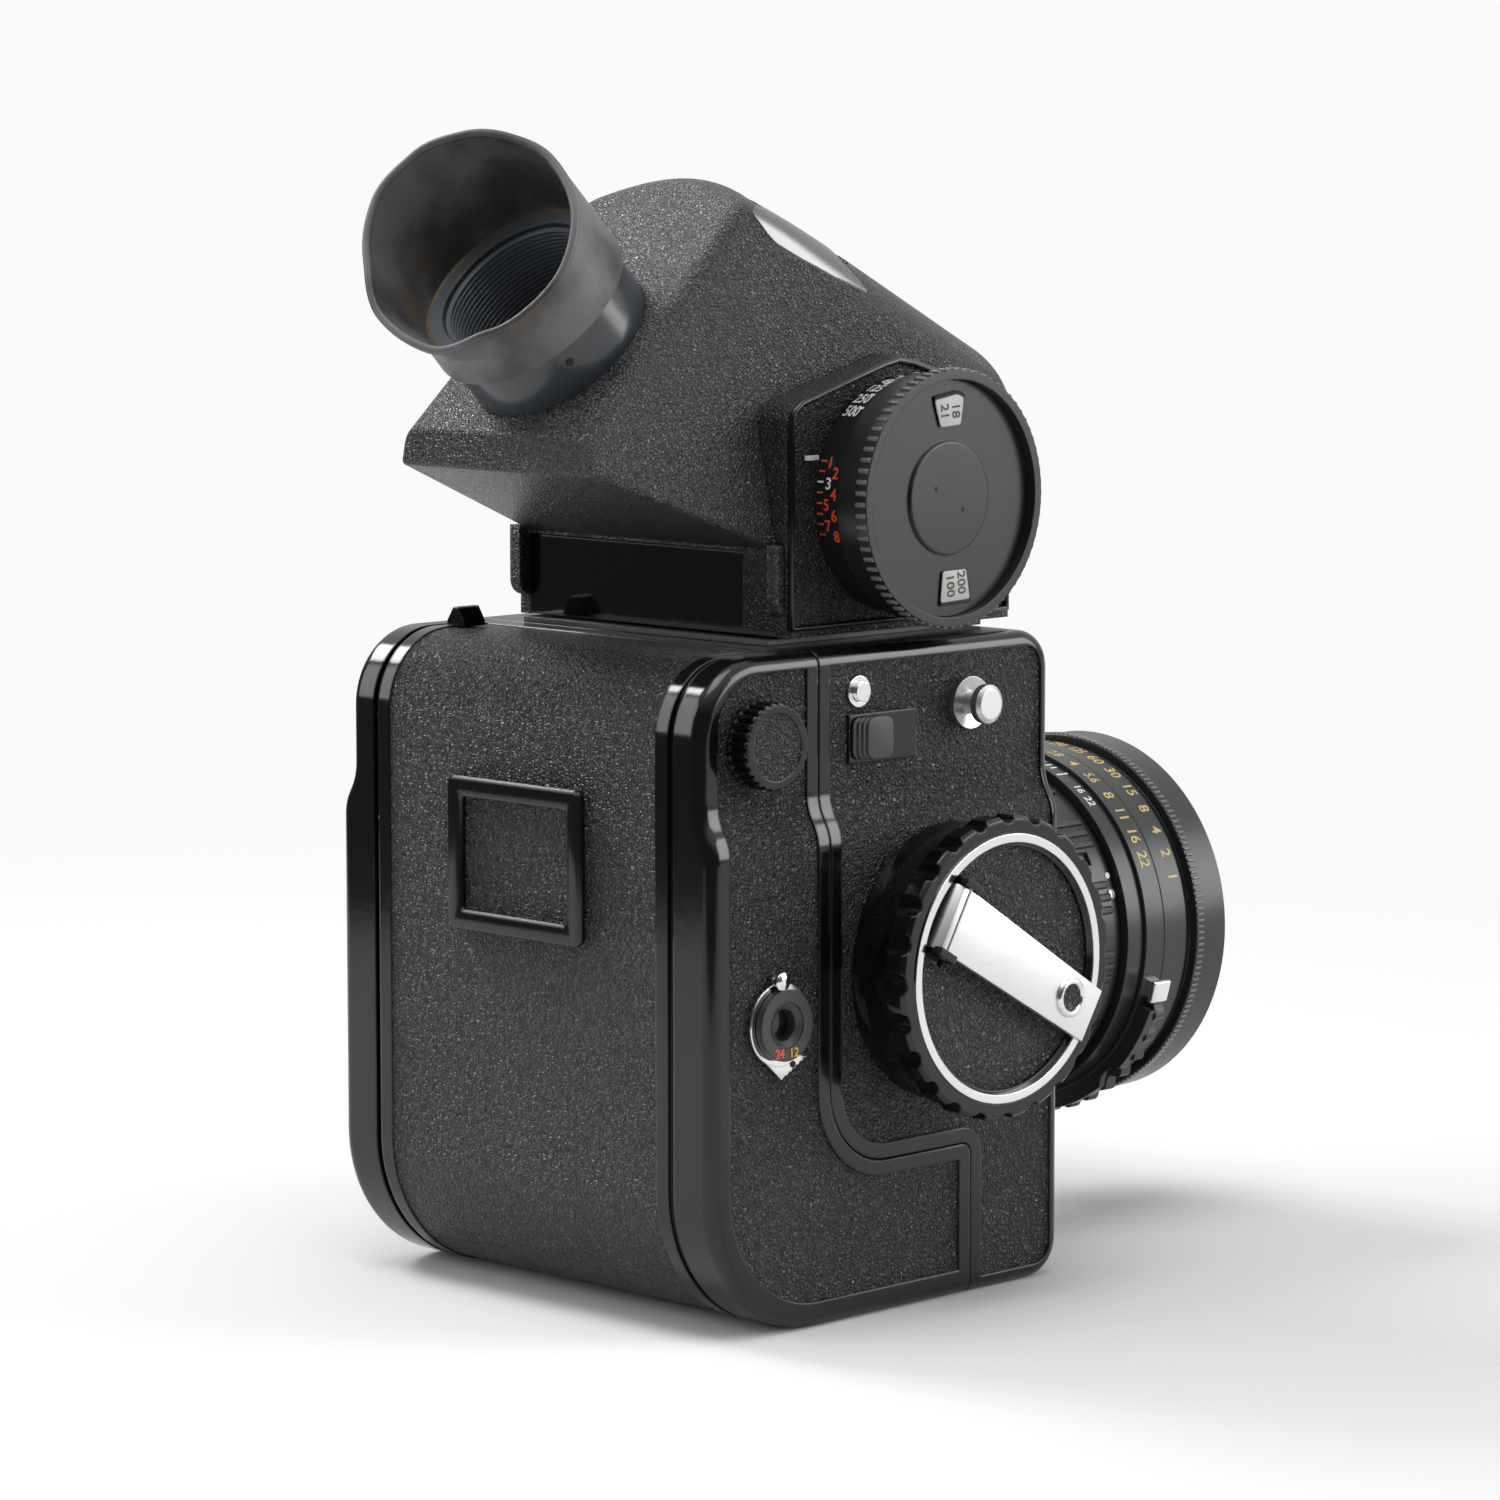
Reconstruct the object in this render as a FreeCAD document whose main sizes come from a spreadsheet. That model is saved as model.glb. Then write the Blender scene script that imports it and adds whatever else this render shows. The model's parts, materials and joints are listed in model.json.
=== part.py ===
import FreeCAD, Part
import math
import os
import Sketcher

# Medium format film camera: cube body, L-shaped roll film back, 45 degree metered prism finder
# and a leaf shutter lens. Millimetres, +Z up, the lens looks along -Y, the wind knob is on -X.
# The origin is the mouth of the tripod socket, on the underside.

doc = FreeCAD.newDocument("FilmCamera")

wholeBody = {
    "rearReach": 76.5,
    "bodyDepth": 88.5,
    "bodyTop": 117.0,
    "upperHalf": 44.5,
    "lowerHalf": 47.5,
    "flareLow": 83.0,
    "flareHigh": 93.0,
    "rearTopRadius": 14.0,
    "rearLowRadius": 26.0,
    "frontRadius": 7.0,
    "skinRound": 2.4,
    "bodyWall": 2.5,
    "seamGap": 0.3,
    "leatherSink": 0.35,
    "leatherThick": 0.7,
    "panelMargin": 6.0,
    "panelTopMargin": 8.0,
    "leatherFit": 0.02,
    "edgeBorder": 2.7,
    "inlayRadius": 4.0,
    "lensHeight": 55.0,
}

filmBack = {
    "backDepth": 28.75,
    "footTop": 27.2,
    "footDepth": 64.5,
    "seamRadius": 14.2,
    "footCorner": 2.0,
    "rearBorder": 4.6,
    "wrapHalf": 38.0,
    "wrapWall": 1.3,
    "frontWall": 2.0,
    "cheekGap": 0.3,
    "cheekRim": 4.0,
    "rimOuter": 37.0,
    "rimInner": 34.0,
    "rimRise": 0.8,
    "wrapFront": 5.0,
    "gateWide": 56.0,
    "gateLow": 31.0,
    "gateHigh": 79.0,
    "slotGap": 0.25,
    "darkSlideThick": 0.8,
    "darkSlideWide": 60.0,
    "darkSlideTall": 52.0,
    "darkSlideTab": 6.0,
}

memoFrame = {
    "memoWide": 34.3,
    "memoTall": 27.4,
    "memoLow": 65.9,
    "memoSide": 3.9,
    "memoTopBar": 2.6,
    "memoLowBar": 2.0,
    "memoProud": 1.8,
}

spools = {
    "spoolFlange": 12.4,
    "spoolCore": 5.75,
    "spoolHalf": 31.6,
    "flangeThick": 0.9,
    "upperSpoolBehind": 14.0,
    "upperSpoolHeight": 102.3,
    "lowerSpoolBehind": 20.0,
    "lowerSpoolHeight": 18.6,
    "spoolBore": 2.08,
    "frameThick": 1.2,
    "frameReach": 16.0,
    "frameFoot": 12.1,
    "frameHeel": 9.0,
    "frameHead": 8.0,
    "frameRise": 5.7,
    "frameStep": 3.0,
    "plateBehind": 23.4,
    "plateThick": 1.4,
    "plateLow": 33.5,
    "plateHigh": 85.5,
    "plateHalf": 30.5,
    "spindleFit": 0.06,
}

backControls = {
    "filmKnobRadius": 7.55,
    "filmKnobTall": 4.7,
    "filmKnobSeat": 0.25,
    "filmKnobTeeth": 28.0,
    "toothRadius": 0.42,
    "filmCapRadius": 5.7,
    "filmCapThick": 0.5,
    "spindleRadius": 2.0,
    "counterBehind": 16.0,
    "counterHeight": 54.4,
    "counterRadius": 6.2,
    "bezelInner": 4.6,
    "bezelTall": 1.5,
    "counterDiscRadius": 4.54,
    "counterDiscThick": 0.6,
    "glassThick": 0.5,
    "selectorRadius": 7.3,
    "selectorTip": 11.0,
    "selectorThick": 0.8,
    "selectorHalf": 3.6,
    "latchSide": 33.0,
    "latchBehind": 17.7,
    "latchWide": 4.5,
    "latchTall": 3.5,
    "latchLong": 5.0,
    "latchFoot": 1.0,
}

windControls = {
    "windBehind": 58.4,
    "windHeight": 60.8,
    "windSeat": 0.4,
    "windTall": 14.4,
    "windBaseRadius": 24.6,
    "windFlangeRadius": 26.7,
    "windFlangeThick": 4.2,
    "windScallops": 24.0,
    "scallopRadius": 2.1,
    "scallopReach": 27.6,
    "trimOuter": 23.65,
    "trimInner": 22.15,
    "trimThick": 0.9,
    "trimProud": 0.3,
    "faceRadius": 21.4,
    "faceSink": 1.2,
    "faceLeather": 0.6,
    "windShaft": 3.0,
    "windShaftLong": 10.0,
    "crankBehind": 43.9,
    "crankHeight": 71.0,
    "crankSlope": 30.3,
    "crankLong": 42.4,
    "crankWide": 11.4,
    "crankTip": 9.9,
    "crankThick": 1.2,
    "crankLift": 0.45,
    "crankPin": 0.7,
    "crankEye": 1.35,
    "lugThick": 1.4,
    "lugGap": 0.2,
    "gripFromTip": 9.2,
    "gripRadius": 3.0,
    "gripTall": 0.7,
    "gripStem": 1.5,
}

bodyControls = {
    "releaseBehind": 38.8,
    "releaseDrop": 7.5,
    "releaseRing": 2.75,
    "releaseBore": 1.8,
    "releasePin": 1.74,
    "releaseProud": 1.6,
    "releaseRingProud": 0.6,
    "studBehind": 66.8,
    "studDrop": 11.6,
    "studDish": 4.65,
    "studHead": 3.45,
    "studNeck": 2.0,
    "studTall": 5.8,
    "studHeadTall": 2.4,
    "studDishTall": 1.2,
    "sliderBehind": 41.3,
    "sliderDrop": 8.2,
    "sliderLong": 9.0,
    "sliderTall": 7.6,
    "sliderThick": 1.7,
    "sliderPlateLong": 17.0,
    "sliderPlateTall": 8.6,
    "sliderPlateThick": 0.5,
    "shutterAside": 33.0,
    "shutterHeight": 20.0,
    "shutterRadius": 5.0,
    "shutterProud": 2.2,
    "shutterRingWall": 1.3,
    "socketBore": 3.175,
    "socketOuter": 6.5,
    "socketDeep": 9.0,
    "socketFlange": 2.0,
    "socketFlangeThick": 1.5,
}

reflexBox = {
    "mirrorBoxHalf": 30.0,
    "mirrorBoxFront": 3.0,
    "mirrorBoxLow": 29.0,
    "mirrorBoxTop": 93.0,
    "mirrorBoxWall": 1.0,
    "mirrorLong": 51.0,
    "mirrorHalf": 28.0,
    "mirrorThick": 1.6,
    "mirrorHingeDrop": 9.0,
    "mirrorHingeInset": 4.5,
    "screenThick": 2.0,
    "screenHalf": 28.5,
    "finderWindow": 27.5,
    "windowAhead": 12.0,
    "windowBehind": 8.0,
    "throatRadius": 27.0,
}

finderShape = {
    "finderGap": 0.3,
    "seatRise": 1.0,
    "seatHalf": 31.0,
    "finderHalf": 34.0,
    "finderRear": 32.0,
    "plateTop": 133.5,
    "overhang": 5.3,
    "stripLow": 147.6,
    "stripHigh": 154.0,
    "wingReach": 2.6,
    "wingLow": 121.7,
    "wingRadius": 3.0,
    "rearSlope": 44.3,
    "crownHeight": 198.3,
    "browHeight": 169.3,
    "archBehind": 27.0,
    "browRadius": 15.0,
    "browLift": 0.8,
    "ridgeRise": 318.9,
    "ridgeSlope": 31.4,
    "sideSlope": 0.2516,
    "crownRound": 5.0,
    "roofRound": 13.0,
    "rearRound": 3.5,
    "stripRound": 1.0,
    "finderWall": 2.5,
    "rearPlateHalf": 31.4,
    "rearPlateThick": 1.0,
    "rearPlateGap": 0.1,
    "namePlateHalf": 23.0,
    "namePlateLong": 19.0,
    "namePlateThick": 0.7,
    "namePlateShift": 14.0,
    "namePlateCorner": 2.5,
    "finderFloor": 4.0,
    "prismHalf": 20.0,
    "prismFoot": 30.5,
    "prismRise": 2.5,
    "prismTall": 48.0,
    "prismBack": 36.0,
}

meterDial = {
    "dialBehind": 58.5,
    "dialHeight": 142.0,
    "meterThick": 0.8,
    "meterDeep": 10.0,
    "meterRear": 31.0,
    "meterFront": 87.2,
    "meterLow": 119.5,
    "meterShoulder": 159.5,
    "meterHigh": 166.5,
    "scaleRadius": 20.6,
    "scaleTall": 5.6,
    "bandRadius": 21.6,
    "bandTall": 5.6,
    "knurlRadius": 22.35,
    "knurlTall": 2.6,
    "dialRim": 1.6,
    "dialSink": 1.8,
    "dialFaceThick": 1.2,
    "dialCapRadius": 10.0,
    "dialCapRise": 0.4,
    "spannerRadius": 0.45,
    "spannerReach": 3.9,
    "dialShaft": 3.0,
    "dialFit": 0.08,
}

eyepiece = {
    "eyeBehind": 10.0,
    "tubeRadius": 17.25,
    "tubeBore": 14.35,
    "tubeTall": 15.0,
    "tubeSunk": 2.0,
    "eyeGlassThick": 3.0,
    "cupStart": 9.6,
    "cupMiddle": 27.8,
    "cupEnd": 40.0,
    "cupSideLean": 0.357,
    "cupRiseLean": 0.304,
    "cupMouth": 19.5,
    "cupWall": 1.5,
    "cupWaist": 18.6,
}

lens = {
    "mountRing": 32.0,
    "mountThick": 2.4,
    "barrelOuter": 28.5,
    "barrelInner": 24.08,
    "barrelLong": 31.0,
    "focusStart": 3.4,
    "focusEnd": 34.5,
    "focusRadius": 31.2,
    "focusRibs": 12.0,
    "ribNotch": 1.6,
    "runningFit": 0.08,
    "frontGap": 0.6,
    "indexEnd": 39.4,
    "indexRadius": 32.8,
    "innerTube": 24.0,
    "innerBore": 20.0,
    "ringCore": 28.9,
    "scaleRingRadius": 33.5,
    "apertureEnd": 44.6,
    "shutterEnd": 51.0,
    "ringGap": 0.15,
    "rimRadius": 34.6,
    "grooveRadius": 32.8,
    "grooveWide": 1.6,
    "lensLong": 61.7,
    "filterRadius": 33.5,
    "filterDeep": 4.0,
    "rimBore": 30.5,
    "frontGlassRadius": 21.0,
    "frontGlassThick": 3.8,
    "lobeRadius": 36.6,
    "lobeSpread": 68.0,
    "lobeThick": 2.2,
}

groups = [wholeBody, filmBack, memoFrame, spools, backControls, windControls, bodyControls,
          reflexBox, finderShape, meterDial, eyepiece, lens]

sheet = doc.addObject("Spreadsheet::Sheet", "Sizes")
row = 1
for group in groups:
    for alias, value in group.items():
        sheet.set("A%d" % row, alias)
        sheet.set("B%d" % row, str(value))
        sheet.setAlias("B%d" % row, alias)
        row += 1
doc.recompute()


class Size:
    """A length that knows its value and the spreadsheet expression that gives it."""

    def __init__(self, value, text):
        self.value = value
        self.text = text

    def __add__(self, other):
        other = size(other)
        return Size(self.value + other.value, "(%s + %s)" % (self.text, other.text))

    def __sub__(self, other):
        other = size(other)
        return Size(self.value - other.value, "(%s - %s)" % (self.text, other.text))

    def __mul__(self, other):
        other = size(other)
        return Size(self.value * other.value, "(%s * %s)" % (self.text, other.text))

    def __truediv__(self, other):
        other = size(other)
        return Size(self.value / other.value, "(%s / %s)" % (self.text, other.text))

    def __neg__(self):
        return Size(-self.value, "(0 - %s)" % self.text)

    def __radd__(self, other):
        return size(other) + self

    def __rsub__(self, other):
        return size(other) - self

    def __rmul__(self, other):
        return size(other) * self

    def __rtruediv__(self, other):
        return size(other) / self


def size(thing):
    if isinstance(thing, Size):
        return thing
    if isinstance(thing, str):
        return Size(float(sheet.get(thing)), "Sizes." + thing)
    return Size(float(thing), repr(float(thing)))


def sine(degrees):
    degrees = size(degrees)
    return Size(math.sin(math.radians(degrees.value)), "sin(%s)" % degrees.text)


def cosine(degrees):
    degrees = size(degrees)
    return Size(math.cos(math.radians(degrees.value)), "cos(%s)" % degrees.text)


def root(amount):
    amount = size(amount)
    return Size(math.sqrt(amount.value), "sqrt(%s)" % amount.text)


def tangent(degrees):
    return sine(degrees) / cosine(degrees)


def behind(alias):
    """The Y of something measured forward from the rear face of the film back."""
    return size("rearReach") - size(alias)


def bind(thing, prop, amount):
    amount = size(amount)
    thing.setExpression(prop, amount.text)


# Directions that a piece's own Z axis can point along.
toward = {
    "left": FreeCAD.Vector(1, 0, 0),
    "right": FreeCAD.Vector(-1, 0, 0),
    "rear": FreeCAD.Vector(0, 1, 0),
    "lens": FreeCAD.Vector(0, -1, 0),
    "up": FreeCAD.Vector(0, 0, 1),
    "down": FreeCAD.Vector(0, 0, -1),
}

# How a flat outline lies: side is drawn in Y and Z, front in X and Z, flat in X and Y.
lies = {
    "side": FreeCAD.Rotation(FreeCAD.Vector(1, 1, 1), 120),
    "front": FreeCAD.Rotation(FreeCAD.Vector(1, 0, 0), 90),
    "flat": FreeCAD.Rotation(),
}


def place(thing, at, rotation):
    at = [size(part) for part in at]
    base = FreeCAD.Vector(*[part.value for part in at])
    thing.Placement = FreeCAD.Placement(base, rotation)
    for letter, part in zip("xyz", at):
        bind(thing, "Placement.Base." + letter, part)


def newBody(label):
    body = doc.addObject("PartDesign::Body", label)
    body.Label = label
    return body


def originPlane(body, role):
    for feature in body.Origin.OriginFeatures:
        if feature.Role == role:
            return feature


def newSketch(body, role, height=0):
    sketch = body.newObject("Sketcher::SketchObject", body.Name + "Sketch")
    sketch.AttachmentSupport = [(originPlane(body, role), "")]
    sketch.MapMode = "FlatFace"
    bind(sketch, "AttachmentOffset.Base.z", height)
    return sketch


def constrain(sketch, kind, geometry, end, amount):
    amount = size(amount)
    index = sketch.addConstraint(Sketcher.Constraint(kind, geometry, end, amount.value))
    sketch.setExpression("Constraints[%d]" % index, amount.text)


def bulge(start, end, radius):
    """The arc from start to end; a positive radius turns left."""
    chord = end - start
    middle = (start + end) * 0.5
    reach = math.sqrt(max(radius * radius - chord.Length ** 2 / 4, 0.0))
    across = FreeCAD.Vector(-chord.y, chord.x, 0).normalize()
    centre = middle + across * (reach if radius > 0 else -reach)
    first, last = (start, end) if radius > 0 else (end, start)
    angles = [math.atan2(point.y - centre.y, point.x - centre.x) for point in (first, last)]
    circle = Part.Circle(centre, FreeCAD.Vector(0, 0, 1), abs(radius))
    return Part.ArcOfCircle(circle, angles[0], angles[1])


def drawOutline(sketch, points):
    """Each point is (x, y), or (x, y, radius) when an arc leads to it from the point before."""
    points = [[size(part) for part in point] for point in points]
    spots = [FreeCAD.Vector(point[0].value, point[1].value, 0) for point in points]
    ends = []
    for number, point in enumerate(points):
        before = spots[number - 1]
        if len(point) == 3:
            radius = point[2].value
            edge = sketch.addGeometry(bulge(before, spots[number], radius), False)
            ends.append((edge, 1, 2) if radius > 0 else (edge, 2, 1))
        else:
            edge = sketch.addGeometry(Part.LineSegment(before, spots[number]), False)
            ends.append((edge, 1, 2))
    for number, point in enumerate(points):
        edge, first, last = ends[number]
        onward = ends[(number + 1) % len(ends)]
        sketch.addConstraint(Sketcher.Constraint("Coincident", edge, last, onward[0], onward[1]))
        constrain(sketch, "DistanceX", edge, last, point[0])
        constrain(sketch, "DistanceY", edge, last, point[1])
        if len(point) == 3:
            curve = abs(point[2].value)
            text = point[2].text if point[2].value > 0 else "(0 - %s)" % point[2].text
            index = sketch.addConstraint(Sketcher.Constraint("Radius", edge, curve))
            sketch.setExpression("Constraints[%d]" % index, text)


def drawCircle(sketch, across, up, radius):
    across, up, radius = size(across), size(up), size(radius)
    centre = FreeCAD.Vector(across.value, up.value, 0)
    circle = Part.Circle(centre, FreeCAD.Vector(0, 0, 1), radius.value)
    edge = sketch.addGeometry(circle, False)
    constrain(sketch, "DistanceX", edge, 3, across)
    constrain(sketch, "DistanceY", edge, 3, up)
    index = sketch.addConstraint(Sketcher.Constraint("Radius", edge, radius.value))
    sketch.setExpression("Constraints[%d]" % index, radius.text)


def slab(label, lie, points, low, high, at=(0, 0, 0)):
    """An outline padded from low to high along its own normal."""
    body = newBody(label)
    sketch = newSketch(body, "XY_Plane", low)
    drawOutline(sketch, points)
    pad = body.newObject("PartDesign::Pad", body.Name + "Pad")
    pad.Profile = sketch
    bind(pad, "Length", size(high) - size(low))
    place(body, at, lies[lie])
    return body


def turned(label, direction, at, points, rotation=None):
    """A profile of (radius, along) points revolved about an axis through at."""
    body = newBody(label)
    sketch = newSketch(body, "XZ_Plane")
    drawOutline(sketch, points)
    spin = body.newObject("PartDesign::Revolution", body.Name + "Revolution")
    spin.Profile = sketch
    spin.ReferenceAxis = (sketch, ["V_Axis"])
    spin.Angle = 360
    turn = rotation or FreeCAD.Rotation(FreeCAD.Vector(0, 0, 1), toward[direction])
    place(body, at, turn)
    return body


def ring(label, direction, at, inner, outer, low, high, rotation=None):
    points = [(inner, low), (outer, low), (outer, high), (inner, high)]
    return turned(label, direction, at, points, rotation)


def notched(body, count, reach, radius, low, high):
    """A circle of round notches cut along a turned piece from high down to low."""
    sketch = newSketch(body, "XY_Plane", high)
    drawCircle(sketch, reach, 0, radius)
    pocket = body.newObject("PartDesign::Pocket", body.Name + "Notch")
    pocket.Profile = sketch
    bind(pocket, "Length", size(high) - size(low))
    pattern = body.newObject("PartDesign::PolarPattern", body.Name + "Notches")
    pattern.Originals = [pocket]
    pattern.Axis = (sketch, ["N_Axis"])
    pattern.Angle = 360
    bind(pattern, "Occurrences", count)
    body.Tip = pattern
    return body


def rod(label, direction, at, radius, low, high, rotation=None):
    """A plain cylinder from low to high along a direction."""
    thing = doc.addObject("Part::Cylinder", label)
    thing.Label = label
    bind(thing, "Radius", radius)
    bind(thing, "Height", size(high) - size(low))
    turn = rotation or FreeCAD.Rotation(FreeCAD.Vector(0, 0, 1), toward[direction])
    way = turn.multVec(FreeCAD.Vector(0, 0, 1))
    start = [size(part) + size(low) * round(step, 9) for part, step in zip(at, way)]
    place(thing, start, turn)
    return thing


def block(label, low, high):
    """A box between two opposite corners."""
    thing = doc.addObject("Part::Box", label)
    thing.Label = label
    for prop, first, last in zip(("Length", "Width", "Height"), low, high):
        bind(thing, prop, size(last) - size(first))
    place(thing, low, FreeCAD.Rotation())
    return thing


def combine(kind, label, things):
    thing = doc.addObject("Part::" + kind, label)
    thing.Label = label
    thing.Shapes = list(things)
    return thing


def fused(label, *things):
    return combine("MultiFuse", label, things)


def shared(label, *things):
    return combine("MultiCommon", label, things)


def cut(label, base, *tools):
    tool = tools[0] if len(tools) == 1 else fused(label + "Tools", *tools)
    thing = doc.addObject("Part::Cut", label)
    thing.Label = label
    thing.Base = base
    thing.Tool = tool
    return thing


def rounded(label, base, bends):
    """Rounds edges picked by their boxes; a bend is (test, radius at the rear end, at the front end)."""
    doc.recompute()
    thing = doc.addObject("Part::Fillet", label)
    thing.Label = label
    thing.Base = base
    edges = []
    for number, edge in enumerate(base.Shape.Edges, 1):
        for wanted, rear, front in bends:
            if wanted(edge.BoundBox):
                ends = [size(rear).value, size(front).value]
                if edge.Vertexes[0].Point.y < edge.Vertexes[-1].Point.y:
                    ends.reverse()
                edges.append((number, ends[0], ends[1]))
                break
    thing.Edges = edges
    return thing


def aside(box, least):
    """True for an edge that stays on one side of the camera, at least so far from its middle."""
    return box.XMin > least or box.XMax < -least


def flank(label, side, near, far):
    """A box over one side of the camera, between two distances from the middle plane."""
    if side > 0:
        return block(label, (near, -beyond, -beyond), (far, beyond, beyond))
    return block(label, (-size(far), -beyond, -beyond), (-size(near), beyond, beyond))


nodes = []


def node(thing):
    nodes.append(thing)
    return thing


frontFace = size("rearReach") - size("bodyDepth")
seamFace = behind("backDepth")
footFace = behind("footDepth")
releaseHeight = size("bodyTop") - "releaseDrop"
sliderHeight = releaseHeight - "sliderDrop"
studHeight = size("bodyTop") - "studDrop"
socketAt = (0, (frontFace + footFace) / 2, 0)
beyond = size("rearReach") * 2


def sideOutline(inset):
    """The side view of body and film back together, drawn in by inset all round."""
    rear = size("rearReach") - inset
    front = frontFace + inset
    low = size(inset)
    top = size("bodyTop") - inset
    lowRadius = size("rearLowRadius") - inset
    topRadius = size("rearTopRadius") - inset
    frontRadius = size("frontRadius") - inset
    return [
        (rear - lowRadius, low),
        (rear, low + lowRadius, lowRadius),
        (rear, top - topRadius),
        (rear - topRadius, top, topRadius),
        (front + frontRadius, top),
        (front, top - frontRadius, frontRadius),
        (front, low + frontRadius),
        (front + frontRadius, low, frontRadius),
    ]


def frontOutline(inset):
    """The front view: narrow shoulders that flare out to the wider lower half."""
    wide = size("lowerHalf") - inset
    narrow = size("upperHalf") - inset
    step = wide - narrow
    rise = size("flareHigh") - size("flareLow")
    bend = (step * step + rise * rise) / (4 * step)
    middle = (wide + narrow) / 2
    half = (size("flareLow") + size("flareHigh")) / 2
    top = size("bodyTop") + size("bodyWall")
    low = -size("bodyWall")
    return [
        (wide, low),
        (wide, "flareLow"),
        (middle, half, bend),
        (narrow, "flareHigh", -bend),
        (narrow, top),
        (-narrow, top),
        (-narrow, "flareHigh"),
        (-middle, half, -bend),
        (-wide, "flareLow", bend),
        (-wide, low),
    ]


def envelope(label, inset):
    side = slab(label + "Side", "side", sideOutline(0), -beyond, beyond)
    front = slab(label + "Front", "front", frontOutline(inset), -beyond, beyond)
    return shared(label, side, front)


def backRegion(inset):
    """Everything behind the seam, with its front boundary moved in by inset."""
    face = seamFace + inset
    top = size("footTop") - inset
    bend = size("seamRadius") + inset
    foot = footFace + inset
    corner = size("footCorner")
    high = size("bodyTop") * 2
    return [
        (face, high),
        (face, top + bend),
        (face - bend, top, -bend),
        (foot + corner, top),
        (foot, top - corner, corner),
        (foot, -high),
        (beyond, -high),
        (beyond, high),
    ]


def bodyRegion():
    """Everything ahead of the seam, one seam gap away from the film back."""
    face = seamFace - "seamGap"
    low = size("footTop") + "seamGap"
    bend = size("seamRadius") - "seamGap"
    leg = footFace - "seamGap"
    corner = size("footCorner") + "seamGap"
    high = size("bodyTop") * 2
    return [
        (face, high),
        (-beyond, high),
        (-beyond, -high),
        (leg, -high),
        (leg, low - corner),
        (leg + corner, low, -corner),
        (face - bend, low),
        (face, low + bend, bend),
    ]


def bodyInlay():
    """The leather field on each side of the body."""
    border = size("edgeBorder")
    rear = seamFace - "seamGap" - border
    leg = footFace - "seamGap" - border
    low = size("footTop") + "seamGap" + border
    bend = size("seamRadius") - "seamGap" - border
    front = frontFace + border
    top = size("bodyTop") - border
    corner = size("footCorner") + "seamGap" + border
    turn = size("inlayRadius")
    return [
        (front, border + turn),
        (front + turn, border, turn),
        (leg, border),
        (leg, low - corner),
        (leg + corner, low, -corner),
        (rear - bend, low),
        (rear, low + bend, bend),
        (rear, top),
        (front + turn, top),
        (front, top - turn, turn),
    ]


def backInlay():
    """The leather field on each side of the film back."""
    border = size("edgeBorder")
    rim = size("rearBorder")
    front = seamFace + border
    top = size("footTop") - border
    bend = size("seamRadius") + border
    foot = footFace + border
    rear = size("rearReach") - rim
    lowRadius = size("rearLowRadius") - rim
    topRadius = size("rearTopRadius") - rim
    high = size("bodyTop") - border
    return [
        (front, high),
        (front, top + bend),
        (front - bend, top, -bend),
        (foot, top),
        (foot, rim),
        (rear - lowRadius, rim),
        (rear, rim + lowRadius, lowRadius),
        (rear, high - topRadius),
        (rear - topRadius, high, topRadius),
    ]


def followsOutline(box):
    """The edges along the side outline, not the lines of the flare across the side faces."""
    return aside(box, size("upperHalf").value - 1) and box.YMax - box.YMin < size("bodyDepth").value - 1


bodySkin = rounded("bodySkin", envelope("bodyBox", 0), [(followsOutline, "skinRound", "skinRound")])
leatherFace = envelope("leatherFace", "leatherSink")
leatherBed = envelope("leatherBed", size("leatherSink") + "leatherThick")
pocketBed = envelope("pocketBed", size("leatherSink") + "leatherThick" + "leatherFit")


def inlays(label, outline, panels):
    """Leather panels on both sides, with their holes, and the pocket that takes them."""
    field = slab(label + "Field", "side", outline, -beyond, beyond)
    outer = shared(label + "Outer", leatherFace, field)
    sheetShape = cut(label + "Sheet", outer, leatherBed)
    for name, side, holes in panels:
        half = shared(name + "Panel", sheetShape, flank(name + "Half", side, 0, beyond))
        node(cut(name, half, *holes))
    return cut(label + "Pocket", field, pocketBed)


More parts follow.
